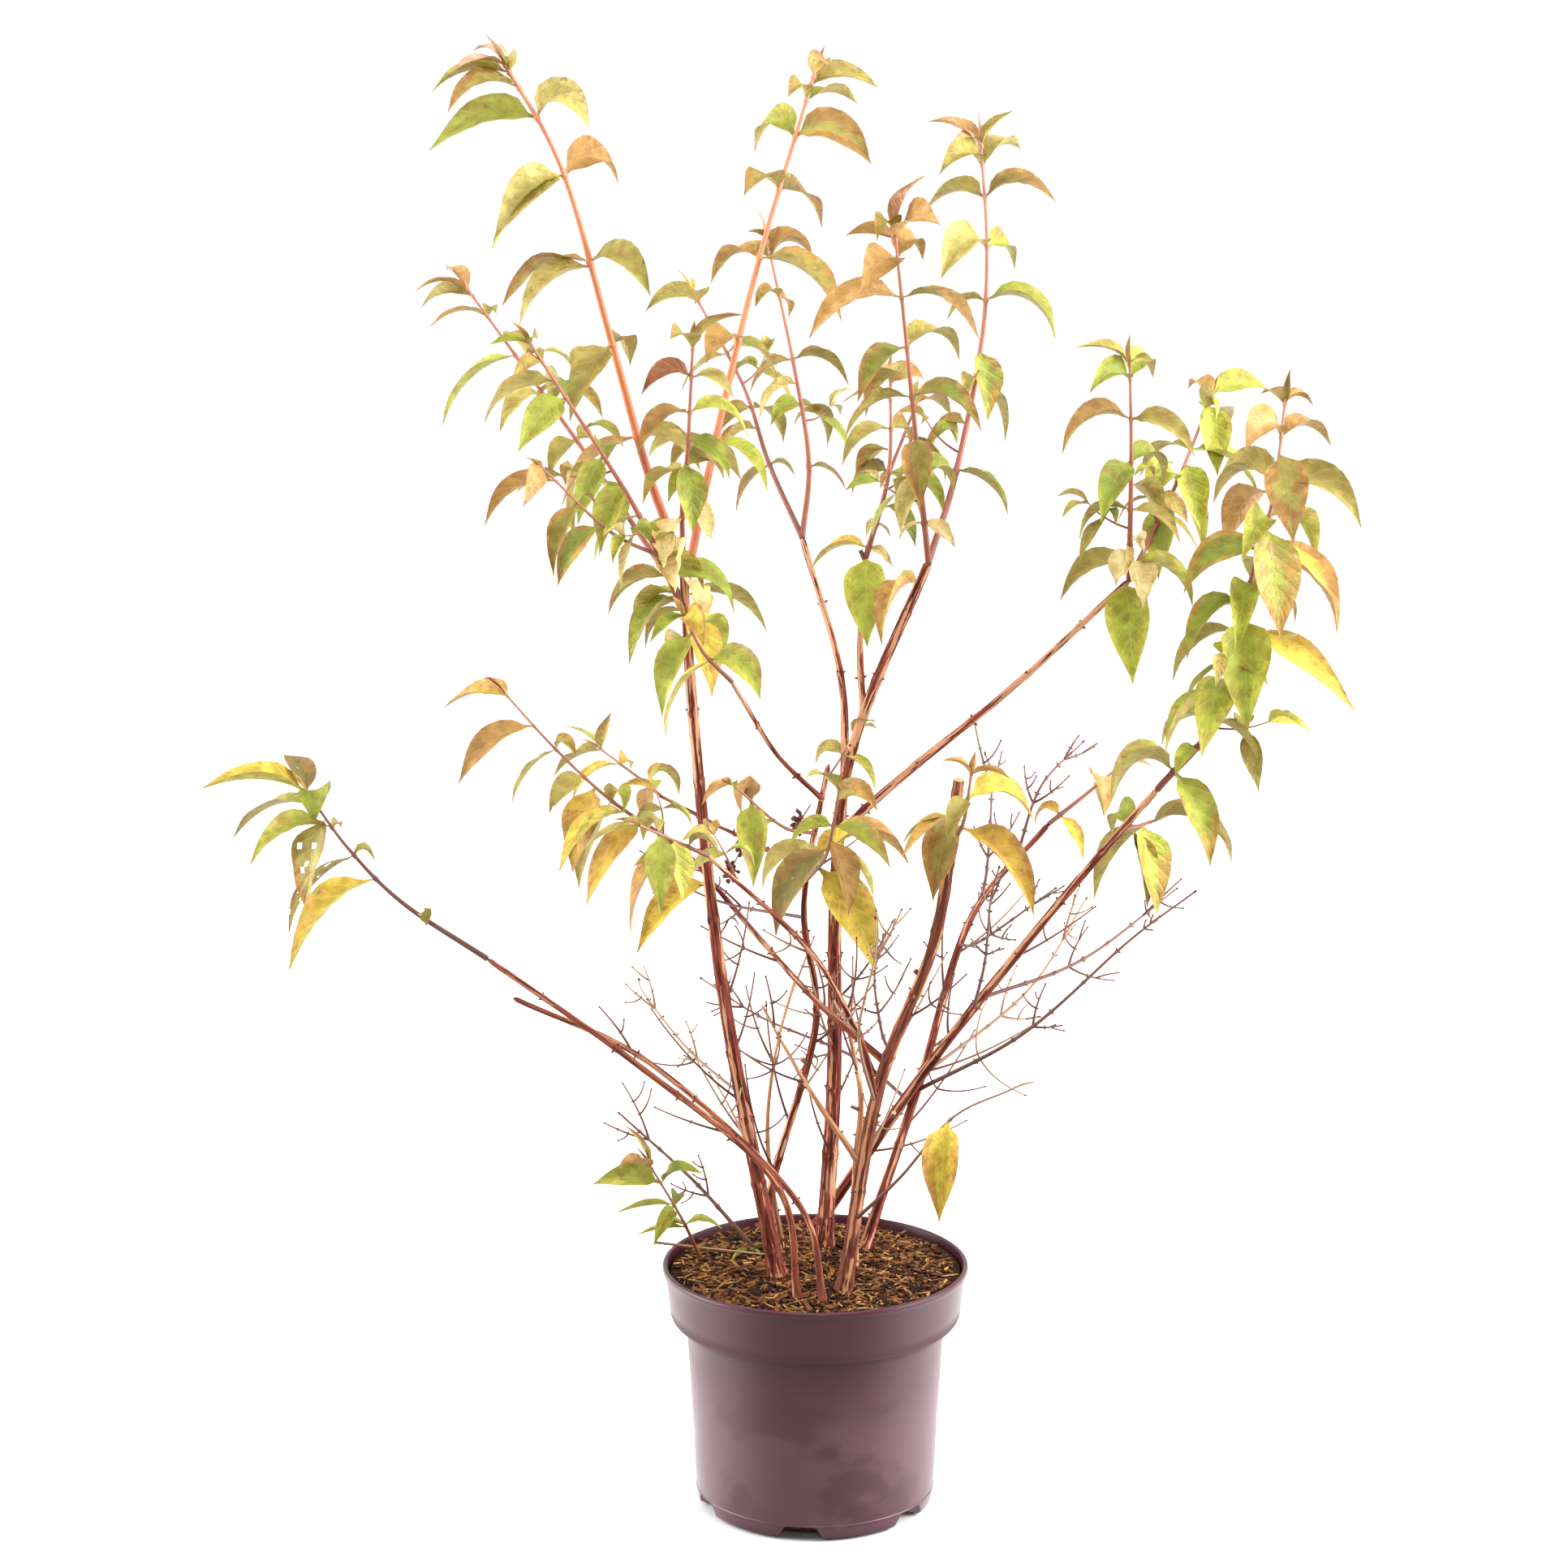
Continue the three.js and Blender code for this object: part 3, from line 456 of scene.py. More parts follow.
# %% The leafy shoots
# Each row: name, parent and share or foot, radii, seed, how far the leaves hang, how orange
# the stem glows, way, shares of the joints, left leaves, right leaves.
SHOOT_ROWS = [
    ("shoot_tall_left", ("cane_left", 1), (2.3, 0.8), 11, 1, 1.0,
     [(-120, -30, 785), (-145, -60, 885), (-175, -90, 1000), (-215, -95, 1075)],
     (0.27, 0.45, 0.61, 0.77, 0.88, 0.94, 0.97, 1),
     "b80 o72 b85 p82 h85 p68 h60 k44", "o60 B60 o75 b88 p75 - h40 k38"),
    ("shoot_tall_middle", ("cane_left", 0.97), (2.2, 0.8), 12, 1, 1.0,
     [(-70, 50, 815), (-40, 90, 935), (0, 120, 1065)],
     (0.29, 0.48, 0.64, 0.77, 0.87, 0.94, 0.97, 1),
     "o55 b66 b68 o65 h85 o52 - p45", "l60 G55 o88 B82 o82 h58 o60 t40"),
    ("shoot_front_left", ("cane_left", 0.93), (2, 0.8), 13, 1, 0.6,
     [(-120, -70, 750), (-145, -100, 800), (-195, -160, 890)],
     (0.17, 0.3, 0.4, 0.6, 0.7, 0.8, 0.86, 0.93, 1),
     "o62 - g50 g58 - h60 o65 p34 h30", "g78 h50 - g55 g45 G62 - g30 o28"),
    ("shoot_outer_left", ("cane_left", 0.95), (2, 0.8), 14, 1, 0.55,
     [(-130, 30, 735), (-170, 60, 790), (-215, 80, 850), (-260, 100, 910)],
     (0.3, 0.52, 0.78, 0.9, 0.96, 1), "o42 o48 l88 b52 o56 t46", "- o52 - o36 - t38"),
    ("shoot_short_left", ("cane_left", 1), (1.9, 0.8), 15, 1, 0.5,
     [(-95, -60, 765), (-90, -100, 810), (-85, -140, 885)],
     (0.14, 0.27, 0.4, 0.53, 0.64, 0.75, 0.88, 1),
     "- - - l34 p40 b65 r52 o50", "- - - o52 g46 l66 p42 b50"),
    ("shoot_thin_left", ("shoot_front_left", 0.25), (1.3, 0.6), 16, 1, 0.35,
     [(-145, -110, 755), (-185, -200, 810)],
     (0.44, 0.66, 0.86, 1), "g54 o55 b66 t45", "- g30 - b18"),
    ("shoot_centre_left", ("bough_left_low", 1), (1.5, 0.8), 17, 2, 0.3,
     [(-80, -110, 670), (-92, -135, 700)], (0.35, 0.75, 1), "y76 h66 g36", "h64 l62 y50"),
    ("shoot_centre_front", ("cane_centre", 1), (2, 0.8), 21, 1, 0.45,
     [(70, -70, 800), (60, -110, 885), (50, -150, 965)],
     (0.13, 0.29, 0.52, 0.66, 0.8, 0.91, 0.96, 1),
     "d25 p54 g66 g74 t82 b72 b40 o55", "d35 g56 g68 o76 B80 b62 t75 k55"),
    ("shoot_centre_tall", ("cane_centre", 1), (2.2, 0.8), 22, 1, 0.6,
     [(100, 20, 775), (120, 60, 865), (125, 80, 935), (120, 90, 1015)],
     (0.24, 0.46, 0.64, 0.76, 0.87, 0.94, 0.99, 1),
     "- p38 g42 p80 o60 o68 t46 k36", "G56 G78 g82 l72 B70 o68 o36 k28"),
    ("shoot_centre_low", ("bough_centre", 1), (1.9, 0.7), 81, 1, 0.4,
     [(52, 15, 779), (53, 10, 846)],
     (0.06, 0.2, 0.5, 0.74, 0.9, 1), "y58 d22 B52 o62 o46 t36", "d24 g22 g60 o45 - b46"),
    ("shoot_twin", ("shoot_centre_low", 0.48), (1.2, 0.7), 24, 1, 0.4,
     [(64, 44, 804), (74, 66, 826)], (0.55, 1), "- o30", "o52 b58"),
    ("shoot_back_left", ("bough_back", 1), (1.9, 0.7), 25, 1, 0.35,
     [(-35, 120, 775), (-55, 160, 830), (-95, 200, 900)],
     (0.31, 0.53, 0.74, 0.94, 1), "B48 o46 o50 o55 o36", "o30 B56 o48 o58 y14"),
    ("shoot_back", ("bough_back", 1), (1.9, 0.7), 26, 1, 0.45,
     [(-5, 105, 777), (-16, 135, 846), (-37, 165, 941)],
     (0.25, 0.45, 0.6, 0.8, 0.93, 1), "- g42 o46 o44 o60 B18", "B40 G64 B60 b40 b60 b28"),
    ("shoot_right_front", ("bough_right", 1), (1.9, 0.7), 31, 1, 0.55,
     [(220, -60, 800), (215, -90, 870)], (0.08, 0.17, 0.34, 0.56, 0.75, 0.92, 1),
     "o68 d25 g58 g64 b74 g56 o46", "h72 c40 p50 g68 o62 h66 o25"),
    ("shoot_right_back", ("bough_right", 1), (1.8, 0.7), 32, 1, 0.5,
     [(265, 50, 770), (295, 100, 830)],
     (0.35, 0.53, 0.7, 0.9, 1), "- l66 g68 h64 e46", "l46 l66 l72 p72 h68"),
    ("shoot_far_right", ("cane_right", 1), (2.3, 0.8), 33, 1.3, 0.45,
     [(290, -10, 605), (310, -40, 715), (322, -48, 770), (330, -40, 840)],
     (0.06, 0.14, 0.22, 0.33, 0.45, 0.57, 0.65, 0.73, 0.81, 0.91, 1),
     "h92 l40 h60 l90 o74 l82 g82 h60 o82 t74 B35",
     "l76 - h50 y40 - h70 y96 l86 o88 b68 t32"),
    ("shoot_right_low", ("cane_right", 0.9), (1.3, 0.8), 34, 1, 0.3,
     [(260, 80, 510), (285, 110, 515)], (0.2, 0.5, 1), "g68 g76 o30", "g60 h86 o84"),
    ("shoot_right_inner", ("cane_right_inner", 1), (1.7, 0.8), 35, 1, 0.25,
     [(212, 142, 518), (240, 150, 540)], (0.15, 0.65, 1), "e45 t78 e20", "y40 o44 t24"),
    ("shoot_cut", ("cane_cut", 0.88), (1.5, 0.8), 36, 1, 0.3,
     [(102, -118, 550), (106, -142, 590)], (0.4, 0.75, 1), "h58 o45 e32", "e86 y74 t36"),
    ("shoot_middle", ("cane_slim", 0.78), (1.6, 0.8), 41, 1, 0.3,
     [(5, -60, 510), (10, -90, 535), (15, -120, 575)],
     (0.27, 0.54, 0.73, 0.9, 1), "o80 B86 h40 - h52", "y90 y86 h60 o52 t50"),
    ("shoot_low_left", ("cane_low_front", 1), (1.9, 0.7), 42, 1, 0.15,
     [(-290, -130, 495), (-330, -110, 530), (-360, -100, 570)],
     (0.3, 0.55, 0.68, 0.82, 0.92, 1), "- y100 B84 h80 h86 y80", "o30 - o30 o26 g70 B58"),
    ("shoot_mid_left", ("bough_mid_left", 1), (1.6, 0.7), 43, 1, 0.3,
     [(-155, 120, 515), (-200, 150, 550), (-240, 170, 590)],
     (0.05, 0.2, 0.36, 0.52, 0.69, 0.82, 1),
     "e88 e86 o80 o50 o60 b84 e70", "- o56 h48 - o40 - t30"),
    ("shoot_front_low", ("bough_front_left", 1), (1.5, 0.7), 44, 1, 0.3,
     [(-120, -240, 575)], (0.3, 0.7, 1), "h52 h56 o46", "o45 h50 e34"),
    ("shoot_rear_left", ("bough_rear_left", 1), (1.4, 0.7), 45, 1, 0.3,
     [(-135, 220, 510), (-170, 250, 530)], (0.3, 0.72, 1), "e40 y56 o56", "y64 e38 h42"),
    ("shoot_middle_left", ("cane_slim", 0.87), (1.3, 0.7), 46, 1, 0.3,
     [(-25, -60, 535), (-60, -150, 585)], (0.45, 0.74, 1), "h24 h66 t32", "- t56 g24"),
    ("sprout_rim", (-86, 22), (1.4, 0.7), 51, 0.6, 0.3,
     [(-100, -12, 225), (-122, -28, 270)],
     (0.45, 0.65, 0.85, 1), "g30 h40 h54 t44", "g34 G36 g50 o40"),
    ("twig_low_right", ("cane_cut", 0.14), (1.4, 0.6), 52, 3, 0.1,
     [(60, -100, 285), (95, -150, 345), (135, -180, 375)], (0.72,), "-", "-"),
]
SHOOT_KEYS = ("name", "base", "radii", "seed", "hang", "glow", "way", "nodes", "left", "right")
SHOOTS = [dict(zip(SHOOT_KEYS, row)) for row in SHOOT_ROWS]
print("leafy shoots:", len(SHOOTS))

# %% The bare twigs
# Each row: name, parent and share or foot, radii, seed, way.
BARE_TWIGS = [
    ("twig_low_left", (-40, 30), (1.6, 0.7), 61, [(-60, 40, 200), (-95, 55, 235), (-150, 70, 282)]),
    ("twig_right_front", ("cane_right_inner", 0.36), (1.5, 0.6), 62,
     [(155, 0, 365), (225, -60, 450), (270, -90, 495)]),
    ("twig_right_long", ("cane_right", 0.53), (1.4, 0.6), 63, [(205, 100, 395), (285, 170, 435)]),
    ("twig_right_back", ("cane_right", 0.36), (1.3, 0.6), 64, [(165, 120, 365), (215, 180, 425)]),
    ("twig_right_upper", ("cane_right_inner", 0.68), (1.2, 0.5), 65,
     [(125, 60, 420), (175, -20, 480)]),
    ("twig_inner_upright", ("cane_right", 0.51), (1.2, 0.5), 66,
     [(125, 0, 420), (125, -60, 480), (130, -80, 510)]),
    ("twig_inner_back", ("cane_right_inner", 0.78), (1.2, 0.5), 67,
     [(135, 160, 455), (140, 200, 515), (135, 210, 535)]),
    ("twig_inner_top", ("cane_right_inner", 0.9), (1.1, 0.5), 68,
     [(175, 150, 520), (210, 180, 550)]),
    ("twig_centre_front", ("cane_cut", 0.36), (1.3, 0.5), 69,
     [(30, -95, 390), (40, -130, 455), (40, -150, 490)]),
    ("twig_centre_back", ("cane_cut", 0.46), (1.2, 0.5), 81,
     [(48, -10, 372), (45, 50, 400), (60, 80, 425)]),
    ("twig_left_back", ("cane_right_inner", 0.33), (1.4, 0.5), 71,
     [(30, 110, 315), (-40, 150, 335), (-90, 180, 360)]),
    ("twig_left_side", ("cane_left", 0.27), (1.2, 0.5), 72,
     [(-95, 40, 340), (-130, 90, 370), (-135, 100, 380)]),
    ("twig_left_upper", ("cane_slim", 0.71), (1.2, 0.5), 82, [(-70, 60, 450), (-125, 120, 460)]),
]
print("bare twigs:", len(BARE_TWIGS))

# %% Every limb's way
LIMBS = {}


def grow(name, base, radii, way, **more):
    """Works out a limb's way, from its foot on the compost or from its parent."""
    on_parent = isinstance(base[0], str)
    start = LIMBS[base[0]]["way"].at(base[1]) if on_parent else (*base, SOIL_LEVEL)
    LIMBS[name] = {"name": name, "way": Way([start, *way]), "radii": radii,
                   "foot": not on_parent, **more}


for name, base, radii, bark, way in CANES:
    grow(name, base, radii, way, bark=bark)
for shoot in SHOOTS:
    grow(shoot["name"], shoot["base"], shoot["radii"], shoot["way"])
for name, base, radii, _, way in BARE_TWIGS:
    grow(name, base, radii, way)
longest = max(limb["way"].length for limb in LIMBS.values())
print("limbs:", len(LIMBS), "longest:", round(longest), "mm")

# %% [markdown]
# ## The pot
# A nursery pot is one moulded shell: a foot ring with drain notches, a body that widens
# slowly, a stepped collar and a thin rolled rim. It could be a lathe curve, but extruding a
# circle ring by ring keeps the faces even, and the Boolean cutters for the notches then meet
# clean quads.

# %% Turned shapes
def edit_all():
    """Opens the active mesh with everything in it selected."""
    bpy.ops.object.mode_set(mode="EDIT")
    bpy.ops.mesh.select_all(action="SELECT")


def leave_edit():
    bpy.ops.object.mode_set(mode="OBJECT")


def turned(name, profile, segments=128):
    """A circle extruded through each radius and height of a profile, and closed."""
    radius, height = profile[0]
    bpy.ops.mesh.primitive_circle_add(
        vertices=segments, radius=radius * MM, location=(0, 0, height * MM), fill_type="NGON"
    )
    made = bpy.context.object
    made.name = name
    bpy.ops.object.transform_apply(location=True)
    edit_all()
    for (near, low), (far, high) in zip(profile, profile[1:]):
        shift = (0, 0, (high - low) * MM)
        bpy.ops.mesh.extrude_region_move(TRANSFORM_OT_translate={"value": shift})
        bpy.ops.transform.resize(value=(far / near, far / near, 1))
    bpy.ops.mesh.select_all(action="SELECT")
    bpy.ops.mesh.normals_make_consistent(inside=False)
    leave_edit()
    return made


def tidy_away(piece, angle=35):
    """Smooth shading up to an angle, then nothing selected."""
    nothing_selected()
    piece.select_set(True)
    bpy.context.view_layer.objects.active = piece
    bpy.ops.object.shade_smooth_by_angle(angle=math.radians(angle))
    nothing_selected()


def hand_over(piece, slot, *nodes):
    """The piece rides on the plant's body and stands for these CAD nodes."""
    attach(piece, BODY)
    if nodes:
        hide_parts(*nodes)


print("the pot will ride on", BODY)

# %% The pot's shell
# Each point: radius and height, from under the floor up the outside, over the rim and down.
POT_PROFILE = [
    (20, 0), (31, 0), (32.5, 0.4), (36, 3), (71.5, 3), (75.6, 0.5), (76.4, 0), (83.2, 0),
    (84.4, 0.4), (87.6, 2.4), (88.7, 4), (89.5, 9), (89.7, 11.4), (90.2, 11.8), (90.25, 12.8),
    (89.9, 13.3), (91, 33), (93.4, 78), (95.6, 115), (97.2, 139), (97.8, 141.5), (99.6, 143),
    (105.2, 144.4), (107, 145.2), (108.2, 146.8), (109.2, 149.5), (110.6, 162), (112.6, 179.5),
    (113.1, 181.3), (114.4, 182.1), (114.9, 183), (114.9, 185), (114.4, 186.2), (113.4, 186.9),
    (112.2, 186.9), (111.3, 186.2), (110.9, 184.6), (109, 167), (107.4, 151.2), (105.6, 148.3),
    (96.4, 143.6), (95.4, 140), (91.4, 78), (87.8, 14), (84, 7.2), (20, 6),
]
pot = turned("nursery_pot", POT_PROFILE)
print("pot faces before the notches:", len(pot.data.polygons))

# %% The drain notches
NOTCHES, NOTCH_TURN, NOTCH_RADIUS = 6, -0.13, 83
NOTCH_SIZE, NOTCH_ROUND, NOTCH_NARROWS = (50, 30, 24), 2.0, 0.46
SLIVER = 0.02


def cut_with(piece, cutter):
    """Takes the cutter's shape away from the piece, and removes the cutter."""
    nothing_selected()
    bpy.context.view_layer.objects.active = piece
    modifier = piece.modifiers.new("cut", "BOOLEAN")
    modifier.operation = "DIFFERENCE"
    modifier.solver = "EXACT"
    modifier.object = cutter
    bpy.ops.object.modifier_apply(modifier="cut")
    bpy.data.objects.remove(cutter)


for order in range(NOTCHES):
    turn = NOTCH_TURN + order * 2 * math.pi / NOTCHES
    reach = NOTCH_RADIUS * MM
    spot = (math.sin(turn) * reach, -math.cos(turn) * reach, 0)
    outwards = Vector((math.sin(turn), -math.cos(turn), 0))
    bpy.ops.mesh.primitive_cube_add(size=1, location=spot, rotation=(0, 0, turn))
    cutter = bpy.context.object
    cutter.scale = [side * MM for side in NOTCH_SIZE]
    bpy.ops.object.transform_apply(location=True, rotation=True, scale=True)
    for vertex in cutter.data.vertices:
        if vertex.co.z > 0:
            middle = outwards * vertex.co.length
            vertex.co.x = mix(middle.x, vertex.co.x, NOTCH_NARROWS)
            vertex.co.y = mix(middle.y, vertex.co.y, NOTCH_NARROWS)
    edit_all()
    bpy.ops.mesh.bevel(offset=NOTCH_ROUND * MM, segments=3)
    leave_edit()
    cut_with(pot, cutter)
bpy.context.view_layer.objects.active = pot
edit_all()
bpy.ops.mesh.quads_convert_to_tris(quad_method="FIXED", ngon_method="BEAUTY")
bpy.ops.mesh.dissolve_degenerate(threshold=SLIVER * MM)
leave_edit()
print("pot faces after the notches:", len(pot.data.polygons))

# %% Plum-coloured plastic
# The plastic is dyed right through. It is semi-matt and a little cloudy from handling. From the
# middle up to the collar its colour deepens, a painted shade for the shadow under the collar.
# Water has left dark smudges, and the step under the collar is matt.
PLUM, CLOUDED, COLLAR_SHADE, SMUDGED = (srgb(c) for c in ("5d3943", "66434e", "441822", "441f29"))
COLLAR_SHADE_FROM, LEDGE_FROM, LEDGE_TO = (0.07, 0.142), (0.134, 0.143), (0.158, 0.148)

plastic = Finish("plum_plastic", Specular_IOR_Level=0.5)
cloud = plastic.place.noise(9, 4).step(0.35, 0.7)
smudge = plastic.place.noise(13, 6, (1, 1, 1.6)).step(0.52, 0.62)
height = plastic.place.part(2)
# Painted shade: the plum darkens from 70 mm up to the collar's foot, standing in for the collar's
# shadow.
tone = (height.step(*COLLAR_SHADE_FROM) * 0.9).blend(cloud.blend(PLUM, CLOUDED), COLLAR_SHADE)
plastic.feed(Base_Color=(smudge * 0.6).blend(tone, SMUDGED))
ledge = height.step(*LEDGE_FROM) * height.step(*LEDGE_TO)
plastic.feed(Roughness=0.34 + cloud * 0.08 - smudge * 0.05 + ledge * 0.3)
plastic.bump(plastic.place.noise(900, 2), 0.08, 0.0004)
pot.data.materials.append(plastic.material)
tidy_away(pot, 32)
hand_over(pot, "pot", "pot")
print("pot is ready:", [round(v, 3) for v in pot.dimensions])

# %% [markdown]
# ## Many small things as one mesh
# Chips, leaves and twigs come by the hundred. Each is only a few faces, so their points are
# worked out in arrays and gathered into one mesh a kind, with a slot number on each face that
# says which plain colour it wears.

# %% The gatherer
def mark(mesh, key, values):
    """Gives each point of a mesh a number or a place, for a material to read."""
    kind, field = ("FLOAT_VECTOR", "vector") if values.ndim == 2 else ("FLOAT", "value")
    mesh.attributes.new(key, kind, "POINT").data.foreach_set(field, values.ravel())


class Gather:
    """Collects small closed shapes, in millimetres, into one mesh."""

    def __init__(self):
        self.points, self.faces, self.slots, self.marks = [], [], [], {}
        self.count = 0

    def add(self, points, faces, slots=0, **marks):
        points = np.asarray(points, float)
        self.points.append(points)
        self.faces += [[corner + self.count for corner in face] for face in faces]
        many = np.full(len(faces), slots) if np.isscalar(slots) else np.asarray(slots)
        self.slots.append(many)
        for key, values in marks.items():
            self.marks.setdefault(key, []).append(np.asarray(values, float))
        self.count += len(points)

    def build(self, name, materials, angle=50):
        """The mesh object, with only the materials that its faces wear."""
        mesh = bpy.data.meshes.new(name)
        mesh.from_pydata(np.concatenate(self.points) * MM, [], self.faces)
        slots = np.concatenate(self.slots).astype(int)
        worn, slots = np.unique(slots, return_inverse=True)
        for slot in worn:
            mesh.materials.append(materials[slot])
        mesh.polygons.foreach_set("material_index", slots.ravel().astype(np.int32))
        for key, values in self.marks.items():
            mark(mesh, key, np.concatenate(values))
        piece = bpy.data.objects.new(name, mesh)
        bpy.context.scene.collection.objects.link(piece)
        mesh.validate()
        tidy_away(piece, angle)
        return piece


def tube(places, radii, sides):
    """Points and faces of a closed tube through places."""
    places = np.asarray(places, float)
    rings = len(places)
    tangents = unit(np.gradient(places, axis=0))
    side = unit(np.cross(AWAY if abs(tangents[0][1]) < 0.9 else UP, tangents))
    out = np.cross(tangents, side)
    angles = np.arange(sides) * 2 * math.pi / sides
    radii = np.broadcast_to(radii, rings)
    round_about = np.cos(angles)[None, :, None] * side[:, None, :]
    round_about = round_about + np.sin(angles)[None, :, None] * out[:, None, :]
    points = (places[:, None, :] + radii[:, None, None] * round_about).reshape(-1, 3)
    faces = []
    for ring in range(rings - 1):
        for k in range(sides):
            a, b = ring * sides + k, ring * sides + (k + 1) % sides
            faces.append((a, b, b + sides, a + sides))
    faces.append(tuple(range(sides))[::-1])
    faces.append(tuple(range((rings - 1) * sides, rings * sides)))
    return points, faces


BOX_FACES = [(0, 3, 2, 1), (4, 5, 6, 7), (0, 1, 5, 4), (1, 2, 6, 5), (2, 3, 7, 6), (3, 0, 4, 7)]
print("a four-ring tube has", len(tube([(0, 0, z) for z in range(4)], 1, 6)[1]), "faces")

# %% [markdown]
# ## The compost
# The pot is filled with moist peat, topped with chipped bark and straw-coloured shreds. A
# bumpy crust gives the dark ground, and nearly three thousand flakes lie on it, turned every
# way. The flakes are thin slips with a tapered end, in six plain colours.

# %% Compost crust
CRUST_RADIUS, CRUST_FOOT, CRUST_THICK, CRUST_RINGS = 108.6, 180.2, 0.9, 26
TOP_FROM, LOWEST_TOP, RIM_GAP = 180.6, 0.4, 12
HEAP, RISE = 2.6, 1.2
LUMPS = [(1.3, 13, 4), (0.8, 5, 9)]

bpy.ops.mesh.primitive_circle_add(
    vertices=72, radius=CRUST_RADIUS * MM, fill_type="NGON", location=(0, 0, CRUST_FOOT * MM)
)
crust = bpy.context.object
crust.name = "compost_crust"
bpy.ops.object.transform_apply(location=True)
edit_all()
bpy.ops.mesh.extrude_region_move(TRANSFORM_OT_translate={"value": (0, 0, CRUST_THICK * MM)})
for rings_left in range(CRUST_RINGS, 0, -1):
    share = max((rings_left - 1) / rings_left, 0.02)
    bpy.ops.mesh.inset(thickness=0)
    bpy.ops.transform.resize(value=(share, share, 1))
bpy.ops.mesh.select_all(action="SELECT")
bpy.ops.mesh.normals_make_consistent(inside=False)
leave_edit()


def crust_height(x, y):
    """How high the compost lies above 180 mm, lower by the rim and heaped a little inside."""
    radius = math.hypot(x, y)
    heap = HEAP * max(0.0, 1 - (radius / CRUST_RADIUS) ** 2)
    rough = sum(high * noise.noise((x / size, y / size, cut)) for high, size, cut in LUMPS)
    return RISE + heap + rough * min(1, (CRUST_RADIUS - radius) / RIM_GAP)


for vertex in crust.data.vertices:
    if vertex.co.z > TOP_FROM * MM:
        x, y = vertex.co.x / MM, vertex.co.y / MM
        vertex.co.z = (SOIL_LEVEL + max(LOWEST_TOP, crust_height(x, y))) * MM
peat = Finish("moist_peat", Roughness=0.92, Specular_IOR_Level=0.15)
crumb = peat.place.noise(420, 6)
clod = peat.place.noise(90, 4)
peat.feed(Base_Color=(crumb * 0.7 + clod * 0.4).blend(srgb("1c100a"), srgb("4c3320")))
peat.bump(crumb + clod, 0.9, 0.003)
crust.data.materials.append(peat.material)
tidy_away(crust, 60)
hand_over(crust, "compost")
frame["nodes"]["soil"].data.materials.clear()
frame["nodes"]["soil"].data.materials.append(peat.material)
print("crust faces:", len(crust.data.polygons))

# %% Bark flakes and straw
CHIP_COLOURS = ["26130b", "452416", "6a4023", "966a3a", "b98c56", "7d5029"]
CHIP_SHARES = [0.22, 0.24, 0.18, 0.14, 0.08, 0.14]
STRAW, STRAW_SLIM, STRAW_LONG = (3, 4), 0.55, 1.2
CHIPS, CHIP_MARGIN = 2900, 5
CHIP_LENGTHS, CHIP_WIDTHS, CHIP_THICKS = (3.5, 14), (1.1, 3.8), (0.35, 1.1)
CHIP_TILT, CHIP_LEAN, CHIP_TAPERS = 0.35, 0.5, (0.25, 0.9)
CHIP_LIFT, CHIP_PILE = 0.25, 1.2
dice = np.random.default_rng(7)


def plain(name, code, roughness=0.85, mottle=0.16, scale=260):
    """A plain colour with a faint mottle and a fine grain."""
    made = Finish(name, Roughness=roughness, Specular_IOR_Level=0.2)
    speck = made.place.noise(scale, 3)
    tones = tinted(code, 1 - mottle), tinted(code, 1 + mottle)
    made.feed(Base_Color=speck.step(0.3, 0.7).blend(*tones))
    made.bump(speck, 0.25, 0.0006)
    return made.material


def add_chip(gather):
    """One flake on the crust. Near the rim it is short enough to stay inside the pot."""
    radius = (CRUST_RADIUS - CHIP_MARGIN) * math.sqrt(dice.random())
    angle = dice.random() * 2 * math.pi
    x, y = radius * math.cos(angle), radius * math.sin(angle)
    colour = int(dice.choice(len(CHIP_SHARES), p=CHIP_SHARES))
    slim, long = (STRAW_SLIM, STRAW_LONG) if colour in STRAW else (1, 1)
    length = min(dice.uniform(*CHIP_LENGTHS) * long, 2 * (CRUST_RADIUS + 1 - radius) + 3)
    width = min(dice.uniform(*CHIP_WIDTHS) * slim, length * 0.5)
    thick = dice.uniform(*CHIP_THICKS)
    heading, tilt = dice.random() * 2 * math.pi, dice.uniform(-CHIP_TILT, CHIP_TILT)
    forward = np.array([math.cos(heading) * math.cos(tilt), math.sin(heading) * math.cos(tilt),
                        math.sin(tilt)])
    sideways = unit(np.cross(UP, forward) + UP * dice.uniform(-CHIP_LEAN, CHIP_LEAN))
    lift = np.cross(forward, sideways)
    height = SOIL_LEVEL + crust_height(x, y) + CHIP_LIFT + dice.random() * CHIP_PILE
    centre = np.array([x, y, height])
    taper = dice.uniform(*CHIP_TAPERS)
    outline = [(-0.5, -0.5), (0.5, -0.5 * taper), (0.5, 0.5 * taper), (-0.5, 0.5)]
    points = [centre + forward * u * length + sideways * v * width + lift * w * thick
              for w in (-0.5, 0.5) for u, v in outline]
    gather.add(points, BOX_FACES, colour)


chips = Gather()
for _ in range(CHIPS):
    add_chip(chips)
chip_finishes = [plain(f"chip_{k}", code) for k, code in enumerate(CHIP_COLOURS)]
bark_chips = chips.build("bark_chips", chip_finishes, 30)
hand_over(bark_chips, "compost")
print("chips:", CHIPS, "top at", round(max(v.co.z for v in bark_chips.data.vertices), 4))
